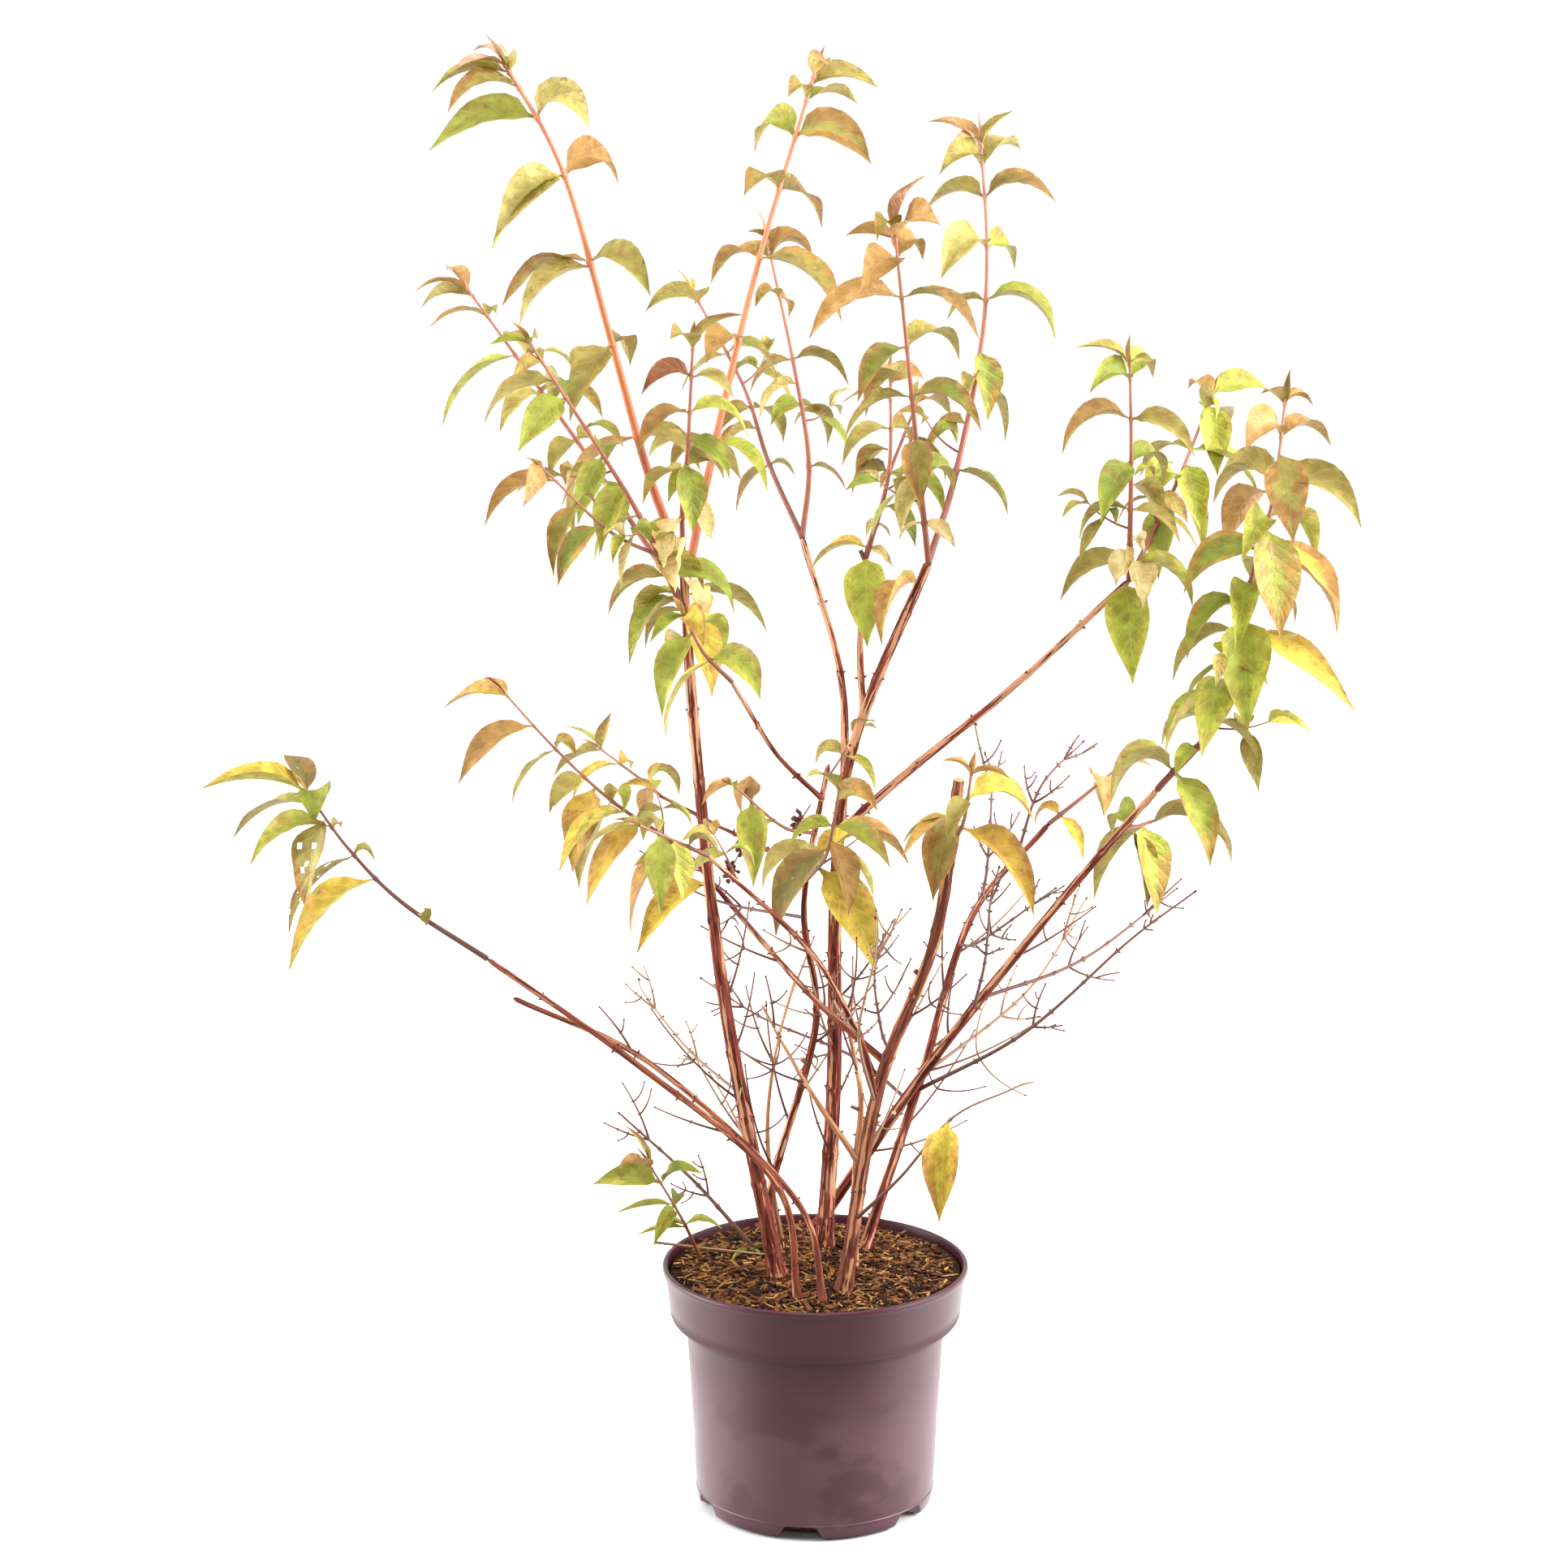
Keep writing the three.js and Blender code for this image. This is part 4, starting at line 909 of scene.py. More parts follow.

# %% [markdown]
# ## Bark
# The older canes of a deutzia shed their bark in long fibrous strips: red-brown ribbons with
# orange-tan fissures between them. The pattern has to follow each cane, so a rod's vertices
# carry two values worked out here: `bare`, how far the inner bark shows, and `grain`, the
# place round and along the limb that fine streaks are drawn on. Higher up, more of the pale
# inner bark shows, a painted highlight for the brighter light on the upper limbs. The strips
# are real relief.

# %% Bark finishes
# The colours of the dark ribbons, the mid ones and the inner bark, and how far that shows.
BARKS = {
    "brown": ("42160f", "974935", "dfa680"), "knotty": ("4e2319", "874a34", "c98f66"),
    "tan": ("5e2a20", "98513a", "cc906a"), "pale": ("a06a48", "c9946a", "e2bc92"),
}
INNER_SHOWS = {"brown": -0.12, "knotty": -0.06, "tan": -0.1, "pale": 0.05}


def bark_finish(name, dark, mid, inner):
    """Ribbons of dark and mid bark, with the inner bark in the cracks between them."""
    made = Finish(f"bark_{name}", Roughness=0.8, Specular_IOR_Level=0.25)
    grain = made.attribute("grain", VECTOR)
    bare = made.attribute("bare", FACTOR)
    streak = grain.noise(0.62, 5, (1, 1, 0.05))
    fibre = grain.noise(1.9, 4, (1, 1, 0.04))
    ribbon = (streak * 0.7 + fibre * 0.4).step(0.44, 0.66).blend(srgb(dark), srgb(mid))
    crack = (bare * 0.5 + (fibre - 0.5) * 1.1 + (streak - 0.5) * 1.2).step(0.22, 0.4)
    made.feed(Base_Color=(crack * 0.85).blend(ribbon, srgb(inner)))
    made.feed(Roughness=0.72 + fibre * 0.2)
    made.bump(fibre + streak, 0.6, 0.0006)
    return made.material


bark_finishes = {name: bark_finish(name, *tones) for name, tones in BARKS.items()}
cut_wood = plain("cut_wood", "c7a377", 0.8)
print("barks:", ", ".join(bark_finishes))

# %% A rod with rings, made as by hand
FLARE_SHARE, FLARE_HEIGHT = 0.6, 12
FORK_SWELL, FORK_LENGTH = 0.4, 5
RING_STEP, MOST_CUTS = 3.2, 24
PAINTED_SUNLIGHT, PAINTED_SUNLIGHT_FROM = 0.4, (340, 700)
JOINT_SPACING, JOINT_SWELL, JOINT_LENGTH = 46, 0.16, 2.2
WIDE_GRAIN, FINE_GRAIN, KNOT_GRAIN = (3.1, 3.1, 70), (1.3, 1.3, 26), (5, 5, 16)
WORN_FROM, ROUND_END, LEAST_RADIUS = (-0.12, 0.3), 3.5, 0.3


def rod(name, sides, cuts):
    """A cylinder from z 0 to 1 with even rings cut along it."""
    nothing_selected()
    bpy.ops.mesh.primitive_cylinder_add(
        vertices=sides, radius=1, depth=1, location=(0, 0, 0.5), end_fill_type="NGON"
    )
    made = bpy.context.object
    made.name = name
    bpy.ops.object.transform_apply(location=True)
    for count in cuts:
        bpy.ops.object.mode_set(mode="EDIT")
        bpy.ops.mesh.select_mode(type="EDGE")
        bpy.ops.mesh.select_all(action="DESELECT")
        leave_edit()
        points = made.data.vertices
        for edge in made.data.edges:
            low, high = (points[k].co.z for k in edge.vertices)
            edge.select = abs(high - low) > 1e-5
        bpy.ops.object.mode_set(mode="EDIT")
        bpy.ops.mesh.subdivide(number_cuts=count)
        leave_edit()
    return made


def smooth(low, high, value):
    t = min(1.0, max(0.0, (value - low) / (high - low)))
    return t * t * (3 - 2 * t)


def joints_of(name):
    """A number of its own for each limb's name, and the spacing of its joints."""
    number = sum(map(ord, name)) % 97
    return number, JOINT_SPACING + number % 17


def grained(place, sizes):
    """Noise at a place on the bark, drawn out along the limb by the sizes."""
    return noise.noise([part / size for part, size in zip(place, sizes)])


def trunk_radius(limb, thick, share, spacing):
    """A limb's radius without its relief: wider at its foot or fork, and at each joint."""
    along = share * limb["way"].length
    radius = mix(thick, limb["radii"][1], share)
    if limb["foot"]:
        radius *= 1 + FLARE_SHARE * math.exp(-along / FLARE_HEIGHT)
    else:
        radius *= 1 + FORK_SWELL * math.exp(-along / FORK_LENGTH)
    off = (along - spacing / 2) % spacing
    swell = math.exp(-((min(off, spacing - off) / JOINT_LENGTH) ** 2))
    return radius * (1 + JOINT_SWELL * swell)


print("a smooth step's middle:", smooth(0, 1, 0.5))

# %% Canes and boughs
SLIM_FEET = {"cane_low_front": 0.7, "cane_low_back": 0.7}
THICK_FROM, THICK_SIDES, THIN_SIDES = 3.9, 22, 14
RELIEF_SHARE, LEAST_RELIEF = 0.055, 0.08


def dress_limb(limb, sides):
    """Replaces a CAD limb by a rod with bark relief, laid along the same way."""
    name, way, knotty = limb["name"], limb["way"], limb["bark"] == "knotty"
    thick = limb["radii"][0] * SLIM_FEET.get(name, 1)
    rings = math.ceil(way.length / RING_STEP)
    first = math.ceil(rings / MOST_CUTS)
    cuts = [first - 1, math.ceil(rings / first) - 1]
    piece = rod(f"bark_of_{name}", sides, [c for c in cuts if c > 0])
    depth = RELIEF_SHARE * thick + LEAST_RELIEF
    number, spacing = joints_of(name)
    count = len(piece.data.vertices)
    bare, grain = np.zeros(count), np.zeros((count, 3))
    frames = {}
    for vertex in piece.data.vertices:
        share = min(1.0, max(0.0, vertex.co.z))
        key = round(share, 6)
        if key not in frames:
            tangent = UP if limb["foot"] and share == 0 else way.along(share)
            frames[key] = (way.at(share), *across(tangent))
        centre, side, out = frames[key]
        angle = math.atan2(vertex.co.y, vertex.co.x)
        along = share * way.length
        radius = trunk_radius(limb, thick, share, spacing)
        place = (math.cos(angle) * radius, math.sin(angle) * radius, along + 31 * number)
        wide, fine = grained(place, WIDE_GRAIN), grained(place, FINE_GRAIN)
        # Real cracks from noise, plus a painted highlight: higher up more pale inner bark shows,
        # for the brighter light on the upper limbs.
        shows = INNER_SHOWS[limb["bark"]] - 0.05 + PAINTED_SUNLIGHT * smooth(*PAINTED_SUNLIGHT_FROM, centre[2])
        worn = smooth(*WORN_FROM, wide * 0.8 + fine * 0.55 + shows)
        relief = depth * (0.5 - 1.2 * worn) + 0.12 * fine
        if knotty:
            relief += 0.5 * grained(place, KNOT_GRAIN)
        left = way.length - along
        if left < ROUND_END and not knotty:
            radius *= math.sqrt(max(0.2, 1 - ((ROUND_END - left) / (ROUND_END + 0.4)) ** 2))
        radius = max(LEAST_RADIUS, radius + relief)
        spot = centre + radius * (side * math.cos(angle) + out * math.sin(angle))
        vertex.co = Vector(spot * MM)
        bare[vertex.index], grain[vertex.index] = worn, place
    mark(piece.data, "bare", bare)
    mark(piece.data, "grain", grain)
    piece.data.materials.append(bark_finishes[limb["bark"]])
    piece.data.materials.append(cut_wood)
    if knotty or name == "cane_low_back":
        top = max(piece.data.polygons, key=lambda f: (len(f.vertices) > 4) * (1 + f.center.z))
        top.material_index = 1
    tidy_away(piece, 70)
    hand_over(piece, "bark", name)
    return len(piece.data.polygons)


faces = 0
for name, _, radii, _, _ in CANES:
    faces += dress_limb(LIMBS[name], THICK_SIDES if radii[0] > THICK_FROM else THIN_SIDES)
print("canes and boughs:", len(CANES), "pieces,", faces, "faces")

# %% [markdown]
# ## Young stems, bare twigs and buds
# Above the old wood the shoots are smooth, orange to salmon on the tall ones and brown on
# the rest. Each joint is a little swollen where the pair of leaves sits. The bare twigs carry
# ever finer side twigs and paired buds, by the same rule as the leaves.

# %% Finishes of the young wood
def stem_finish(name, low, mid, high):
    """From low at the foot of a stem, through mid, to high at its tip."""
    made = Finish(name, Roughness=0.5)
    age = made.attribute("age", FACTOR)
    streak = made.place.noise(190, 3, (1, 1, 0.25)) - 0.5
    stops = [(0.0, srgb(low)), (0.5, srgb(mid)), (1.0, srgb(high))]
    weathered = age + streak * 0.5
    tone = weathered.node("ShaderNodeValToRGB", {"stops": stops}, {"Fac": weathered})
    made.feed(Base_Color=tone)
    made.bump(made.place.noise(700, 2), 0.15, 0.0004)
    return made.material


STEM_TONES = [
    ("stem_orange", "a5502f", "d07a4b", "d68c6c"),
    ("stem_salmon", "783a2c", "a35d44", "bd826b"),
    ("stem_brown", "743f2e", "935a42", "ad7858"),
    ("twig_dark", "542e26", "6f4236", "865646"),
    ("twig_pale", "84604a", "a07a58", "b4926e"),
]
stem_finishes = [stem_finish(*tones) for tones in STEM_TONES]
bud_finish = plain("bud_scales", "5f3a2c", 0.7)
wood_finishes = stem_finishes + [bud_finish, cut_wood]
ORANGE, SALMON, BROWN, DARK, PALE, BUD, CUT = range(7)


def bud(gather, foot, heading, length, width, slot=BUD):
    """A pointed bud of six sides that leans out along its heading."""
    marks = np.array([-0.3, 0.0, 0.35, 0.7, 1.0])
    girth = np.array([0.45, 0.8, 1.0, 0.7, 0.12]) * width
    points, faces = tube([foot + heading * m * length for m in marks], girth, 6)
    gather.add(points, faces, slot, age=np.full(len(points), 0.5))


JOINT_MARKS, STEM_SWELL, SWELL_LENGTH = (-2.4, 0, 2.4), 0.3, 1.7


def stem(gather, way, radii, slot, joints=(), end=1.0, sides=10, step=5.0, age=(0, 1)):
    """A smooth tapering tube along a way, a little swollen at its joints."""
    count = max(3, math.ceil(way.length * end / step))
    extra = [joint + off / way.length for joint in joints for off in JOINT_MARKS]
    shares = np.concatenate([np.linspace(0, end, count + 1), extra])
    shares = np.unique(np.clip(shares, 0, end).round(5))
    shares = shares[np.insert(np.diff(shares) * way.length > 0.5, 0, True)]
    radius = radii[0] + (radii[1] - radii[0]) * shares
    for joint in joints:
        off = (shares - joint) * way.length / SWELL_LENGTH
        radius = radius + STEM_SWELL * radii[0] * np.exp(-(off**2))
    points, faces = tube([way.at(s) for s in shares], radius, sides)
    gather.add(points, faces, slot, age=np.repeat(mix(age[0], age[1], shares), sides))


class Bend:
    """A short arched way, with the same calls as a long one."""

    def __init__(self, foot, bend, tip):
        self.spots = (foot, bend, tip)
        self.length = float(np.linalg.norm(bend - foot) + np.linalg.norm(tip - bend))

    def at(self, share):
        return arch(*self.spots, share)[0]

    def along(self, share):
        return arch(*self.spots, share)[1]


print("wood finishes:", len(wood_finishes))

# %% Stems of the leafy shoots
# Orange stems are drawn half as thick again as their radii, and the others a little.
STOUT = [1.5, 1.15, 1.15, 1.15]
ORANGE_GLOW, SALMON_GLOW, TWIG_END = 0.7, 0.38, 0.995
DARK_STEMS = ("twig_low_right", "shoot_low_left")
young = Gather()
for shoot in SHOOTS:
    limb, glow = LIMBS[shoot["name"]], shoot["glow"]
    slot = ORANGE if glow > ORANGE_GLOW else SALMON if glow > SALMON_GLOW else BROWN
    if shoot["name"] in DARK_STEMS:
        slot = DARK
    joints = [min(n, LAST_NODE) for n in shoot["nodes"]]
    radii = [radius * STOUT[slot] for radius in limb["radii"]]
    stem(young, limb["way"], radii, slot, joints, end=TWIG_END, age=(0.1, 1.0))
young_stems = young.build("young_stems", wood_finishes, 60)
hand_over(young_stems, "foliage", *[shoot["name"] for shoot in SHOOTS])
print("young stems:", len(young_stems.data.polygons), "faces")

# %% Bare twigs with finer and finer side twigs
SPRIG_LENGTHS, SPRIG_RADII, SPRIGS = (18, 50), (1.05, 0.6), 2
FINE_LENGTHS, FINE_RADII, FINE_KEPT = (7, 17), (0.82, 0.56), 0.5
FINE_FROM, FINE_SPAN, FINE_JITTER, USUAL_LENGTH = 0.42, 0.42, 0.1, 34
STRAIGHTENED, TWIG_STOUT = 0.8, 1.22
TWIG_JOINTS, PALE_TWIGS = [0.2, 0.33, 0.47, 0.6, 0.73, 0.86], (3, 8, 11)


def side_twig(gather, held, along, length, radii, slot, draw, finer):
    """A side twig that turns up along its parent, with a few finer ones and end buds."""
    bend = held["foot"] + held["heading"] * LEAF_ARM * length
    tip = bend + unit(along + held["heading"]) * LEAF_DROP * length
    way = Bend(held["foot"], bend, tip)
    stem(gather, way, radii, slot, sides=6, step=4.0)
    bud(gather, way.at(0.98), way.along(1), 2.4, 0.5 + 0.4 * radii[1])
    for order in range(finer):
        share = FINE_FROM + FINE_SPAN * order / finer + FINE_JITTER * draw()
        for hand in (-1, 1):
            held_fine = stance(way, 1, share, order, hand, draw)
            keep = draw()
            reach = mix(*FINE_LENGTHS, draw()) * (length / USUAL_LENGTH)
            if keep < FINE_KEPT:
                side_twig(gather, held_fine, way.along(share), reach, FINE_RADII, slot, draw, 0)
            else:
                bud(gather, held_fine["foot"], held_fine["heading"], 2.6, 0.55)


def bare_twig(gather, order, name, radii, seed):
    """One bare twig with its side twigs, and a pair of buds at each joint."""
    way = LIMBS[name]["way"]
    draw, finer_draw = seeded(seed), seeded(seed + 400)
    slot = PALE if order in PALE_TWIGS else DARK
    radii = [radius * TWIG_STOUT for radius in radii]
    stem(gather, way, radii, slot, TWIG_JOINTS, sides=8, end=TWIG_END)
    bud(gather, way.at(0.99), way.along(1), 3, 1.0)
    for sprig in range(SPRIGS):
        share = (sprig + 1) / (SPRIGS + 0.5)
        for hand in (-1, 1):
            held = stance(way, 1, share, sprig, hand, draw)
            held["heading"] = unit(held["heading"] + STRAIGHTENED * way.along(share))
            length = mix(*SPRIG_LENGTHS, draw())
            side_twig(gather, held, way.along(share), length, SPRIG_RADII, slot, finer_draw, 2)
    for level, share in enumerate(TWIG_JOINTS):
        for hand in (-1, 1):
            held = stance(way, 1, share, level, hand, finer_draw)
            bud(gather, held["foot"], held["heading"], 3.2, 0.75)


twigs = Gather()
for order, (name, _, radii, seed, _) in enumerate(BARE_TWIGS):
    bare_twig(twigs, order, name, radii, seed)
bare_twigs = twigs.build("bare_twigs", wood_finishes, 60)
hand_over(bare_twigs, "bare_twig", *[row[0] for row in BARE_TWIGS])
print("bare twigs:", len(bare_twigs.data.polygons), "faces")

# %% Buds, stubs and hair-fine twigs on the old wood
# Each joint of a cane has a pair of bud scales; some carry a thin dry twig, and where an old
# branch was cut away a short stub is left with a pale end.
# Each stub: limb, share, heading, length and radius. Each hair: limb, share, hand, length.
STUBS = [
    ("cane_centre", 0.985, (0.5, -0.2, 1.0), 9, 2.3), ("bough_centre", 0.98, (-0.5, 0, 1), 9, 1.8),
    ("cane_cut", 0.33, (0.8, -0.3, 0.7), 9, 2.4), ("cane_cut", 0.62, (-0.8, -0.2, 0.8), 8, 2.0),
    ("cane_cut", 0.5, (0.9, 0.2, 0.6), 6, 2.0), ("cane_right", 0.27, (0.2, -0.9, 0.8), 11, 2.0),
    ("cane_low_back", 0.55, (-0.2, -0.8, 0.8), 6, 1.4),
    ("cane_slim", 0.42, (-0.6, -0.7, 0.7), 10, 1.6),
    ("cane_grey", 0.62, (-0.9, -0.3, 0.5), 9, 1.5), ("cane_left", 0.985, (0.9, -0.3, 0.9), 7, 1.6),
]
HAIRS = [
    ("cane_left", 0.2, -1, 60), ("cane_left", 0.33, 1, 46), ("cane_slim", 0.3, -1, 70),
    ("cane_slim", 0.36, 1, 44), ("cane_slim", 0.46, 1, 52), ("cane_grey", 0.75, -1, 48),
    ("cane_grey", 0.9, 1, 40), ("bough_grey", 0.5, -1, 55), ("bough_grey", 0.85, 1, 34),
    ("cane_cut", 0.25, 1, 58), ("cane_cut", 0.53, 1, 44), ("cane_right", 0.3, 1, 62),
    ("cane_right_inner", 0.45, 1, 60), ("cane_right_inner", 0.57, -1, 48),
    ("cane_tan", 0.7, -1, 46), ("cane_tan", 0.95, 1, 34), ("cane_low_back", 0.72, 1, 30),
    ("bough_mid_left", 0.25, 1, 34), ("bough_front_left", 0.5, -1, 30),
    ("cane_centre", 0.22, 1, 40), ("cane_right", 0.44, -1, 38), ("cane_centre", 0.3, -1, 72),
    ("cane_centre", 0.37, 1, 58), ("cane_slim", 0.2, -1, 82), ("cane_right", 0.37, 1, 80),
    ("cane_right_inner", 0.28, 1, 76), ("cane_cut", 0.4, -1, 60), ("cane_cut", 0.46, 1, 66),
    ("cane_left", 0.26, -1, 74), ("cane_left", 0.4, 1, 58), ("cane_right", 0.2, 1, 64),
    ("bough_mid_left", 0.5, -1, 52), ("bough_front_left", 0.3, 1, 46),
    ("cane_low_back", 0.4, 1, 48), ("cane_low_front", 0.42, -1, 42), ("cane_right", 0.62, 1, 56),
    ("cane_right_inner", 0.66, 1, 54), ("cane_centre", 0.15, -1, 66),
]
HAIR_RADII, HAIR_REACH = (1.1, 0.6), 1.3
old = Gather()
for name, share, heading, length, width in STUBS:
    foot, heading = LIMBS[name]["way"].at(share), unit(np.array(heading, float))
    girth = np.array([1.15, 1.0, 0.95, 0.9]) * width
    marks = [foot + heading * length * m for m in (0.0, 0.4, 0.8, 1.0)]
    points, faces = tube(marks, girth, 9)
    old.add(points, faces, [DARK] * (len(faces) - 1) + [CUT], age=np.full(len(points), 0.4))
for name, *_ in CANES:
    limb, draw = LIMBS[name], seeded(sum(map(ord, name)))
    way, spacing = limb["way"], joints_of(name)[1]
    for level in range(int(way.length / spacing)):
        share = (level + 0.5) * spacing / way.length
        radius = mix(*limb["radii"], share)
        for hand in (-1, 1):
            held = stance(way, 1, share, level, hand, draw)
            foot = held["foot"] + held["heading"] * radius * 0.7
            bud(old, foot, held["heading"], 2.2 + radius * 0.45, 0.9)
for order, (name, share, hand, length) in enumerate(HAIRS):
    way, draw = LIMBS[name]["way"], seeded(500 + order)
    held = stance(way, 1, share, order, hand, draw)
    held["heading"] = unit(held["heading"] + STRAIGHTENED * way.along(share))
    slot, length = DARK if order % 3 else PALE, length * HAIR_REACH
    side_twig(old, held, way.along(share), length, HAIR_RADII, slot, draw, 1)
old_twigs = old.build("buds_and_stubs", wood_finishes, 60)
hand_over(old_twigs, "bark")
print("buds and stubs:", len(old_twigs.data.polygons), "faces")

# %% [markdown]
# ## Autumn tints
# A leaf in autumn is several colours at once: green holds out along the midrib, while the
# margin and the drawn-out tip turn first. Instead of painting that, the leaves are dealt
# plain colours face by face. Each tint has a heart colour and a margin colour. A face works
# out the mix it wants from its place on the leaf, and takes the nearest of a fixed set.

# %% The set of plain leaf colours
LEAF_COLOURS = [
    "697222", "7b8827", "8c982b", "93a22c", "a3a836", "a8b034", "b8b944", "c6c44c", "d4cc5e",
    "7d7430", "938737", "a69845", "b8a957", "c9b96e", "dacb8a",
    "dcc347", "e8d164", "caa63c", "b5913a", "e4ba5a", "efdc9a",
    "84652c", "9a7534", "ab813c", "bd8f49", "cda062", "a86a40", "8c5438", "734530",
    "c8967a", "dbb094", "f0dc9e", "ffe8b0", "fad08c", "c28a78",
]
GREENS_AND_YELLOWS = 19
TINTS = {
    "l": ("a9b536", "cbcb50"), "g": ("92962b", "b6af40"), "G": ("748026", "958f33"),
    "h": ("a5a23c", "cab958"), "o": ("9d9040", "bb9f54"), "p": ("b9ab60", "cdbd7c"),
    "y": ("dcc44e", "e6bd5c"), "e": ("c9a646", "b68642"), "b": ("a5883a", "b37a3c"),
    "B": ("8a7632", "9c6636"), "r": ("9a603c", "ab6a44"), "t": ("c49b62", "b5825a"),
    "k": ("dfb592", "d09880"), "c": ("ffe8b0", "fad08c"), "d": ("f2d29e", "dfab76"),
}
UNDERSIDE, UNDER_SHARE = np.array([206.0, 192.0, 130.0]), 0.34
BRONZED, BRONZED_SHARE = np.array([184.0, 124.0, 62.0]), 0.24
SIDE_VEINS, VEIN_LEAN = 7.0, 1.5
SHADED = (0.74, 0.67, 0.45, 1)
BLUSH, FRECKLE = srgb("9c5f30"), srgb("8a5428")


def values(code):
    """A colour as three numbers from 0 to 255, to measure distances by."""
    return np.array([int(code[k : k + 2], 16) for k in (0, 2, 4)], float)


LEAF_VALUES = np.array([values(code) for code in LEAF_COLOURS])


def leaf_finish(name, code, blush):
    """A leaf colour, mottled, with pale sunken veins, a bronze blush and brown freckles."""
    made = Finish(name)
    on_leaf = made.attribute("on_leaf", VECTOR)
    along, out = on_leaf.part(0), on_leaf.part(1)
    from_vein = along.maths("PINGPONG", along * SIDE_VEINS - out * VEIN_LEAN, 0.5)
    off_vein = from_vein.step(0.0, 0.12) * out.step(0.02, 0.08)
    net = made.place.node("ShaderNodeTexVoronoi", {"feature": "DISTANCE_TO_EDGE"}, {"Scale": 430.0})
    mottle = made.place.noise(110, 4)
    low = tuple(part * shade for part, shade in zip(srgb(code), SHADED))
    tone = mottle.step(0.32, 0.68).blend(low, tinted(code, 1.1))
    tone = (off_vein * -0.4 + 0.4).blend(tone, tinted(code, 1.12, 0.04))
    turning = made.place.noise(85, 5).step(0.52, 0.74) * off_vein
    tone = (turning * blush).blend(tone, BLUSH)
    freckles = made.place.noise(240, 2).step(0.6, 0.68) * made.place.noise(30, 2).step(0.45, 0.6)
    made.feed(Base_Color=(freckles * 0.55).blend(tone, FRECKLE))
    made.feed(Roughness=0.46 + mottle * 0.16)
    relief = from_vein.step(0.0, 0.3) * 0.8 + net.step(0.0, 0.16) * 0.3 + mottle * 0.3
    made.bump(relief, 0.5, 0.0009)
    return made.material


leaf_finishes = [
    leaf_finish(f"leaf_{code}", code, 0.5 if order < GREENS_AND_YELLOWS else 0.2)
    for order, code in enumerate(LEAF_COLOURS)
]
print("leaf colours:", len(leaf_finishes))

# %% [markdown]
# ## Leaves
# Each leaf is a closed blade a third of a millimetre thick, on a grid of stations along its
# midrib and columns across. The midrib is the same arch as in the CAD source. On it the blade
# folds up from the midrib, quilts between its side veins, ruffles at its margin and draws
# out to a curled tip. Dried leaves roll up and crumple. Holes are grid cells left out, with
# the wall round them closed.

# %% The shape of a blade
PETIOLE, BLADE_THICK, PETIOLE_WIDE = 0.08, 0.32, 0.6
BIG_GRID, SMALL_GRID, HOLED_GRID = (13, 7), (9, 5), (19, 11)
SMALL_LEAF, SPINE_MARKS = 40, 17
ROUND_IN, DRAW_OUT, SLIMNESS = 0.66, 1.38, 0.83
VEIN_SLANT, QUILT, TIP_CURL_FROM = 0.28, 0.08, 0.6
FOLDS, TWISTS, RUFFLES, WAVES = (0.3, 1.0), (-0.5, 0.5), (0.03, 0.08), (1.5, 2.6)
TIP_CURLS, PHASES = (-0.02, 0.1), (0, 6.28)
DRIED_FOLD, DRIED_TWIST, DRIED_RUFFLE = 1.3, 1.6, 3
CRUMPLE_SIZE, CRUMPLE_PUSH, CRUMPLE_SEED = 0.13, 0.06, 1
TWIST_MIDDLE, VALLEY, MIDRIB_THICK = 0.35, 0.3, 0.35

# Vector noise starts from the clock unless it gets a seed, and a dried leaf is crumpled by it.
noise.seed_set(CRUMPLE_SEED)


def half_width(u, length, breadth):
    """The outline: a thin stalk, widest a third of the way along, and a drawn-out tip."""
    along = np.clip((u - PETIOLE) / (1 - PETIOLE), 0, 1)
    peak = ROUND_IN / (ROUND_IN + DRAW_OUT)
    fullest = peak**ROUND_IN * (1 - peak) ** DRAW_OUT
    swell = along**ROUND_IN * (1 - along) ** DRAW_OUT / fullest
    return np.maximum(0.5 * SLIMNESS * breadth * length * swell, PETIOLE_WIDE * (1.2 - u))


def crumple(places, u, length):
    """A dried leaf's points, pushed about more and more towards its tip."""
    for row, column in np.ndindex(u.shape):
        spot = Vector(places[row, column] / (CRUMPLE_SIZE * length))
        push = np.array(noise.noise_vector(spot)) * CRUMPLE_PUSH * length
        places[row, column] += push * u[row, column]
    return places


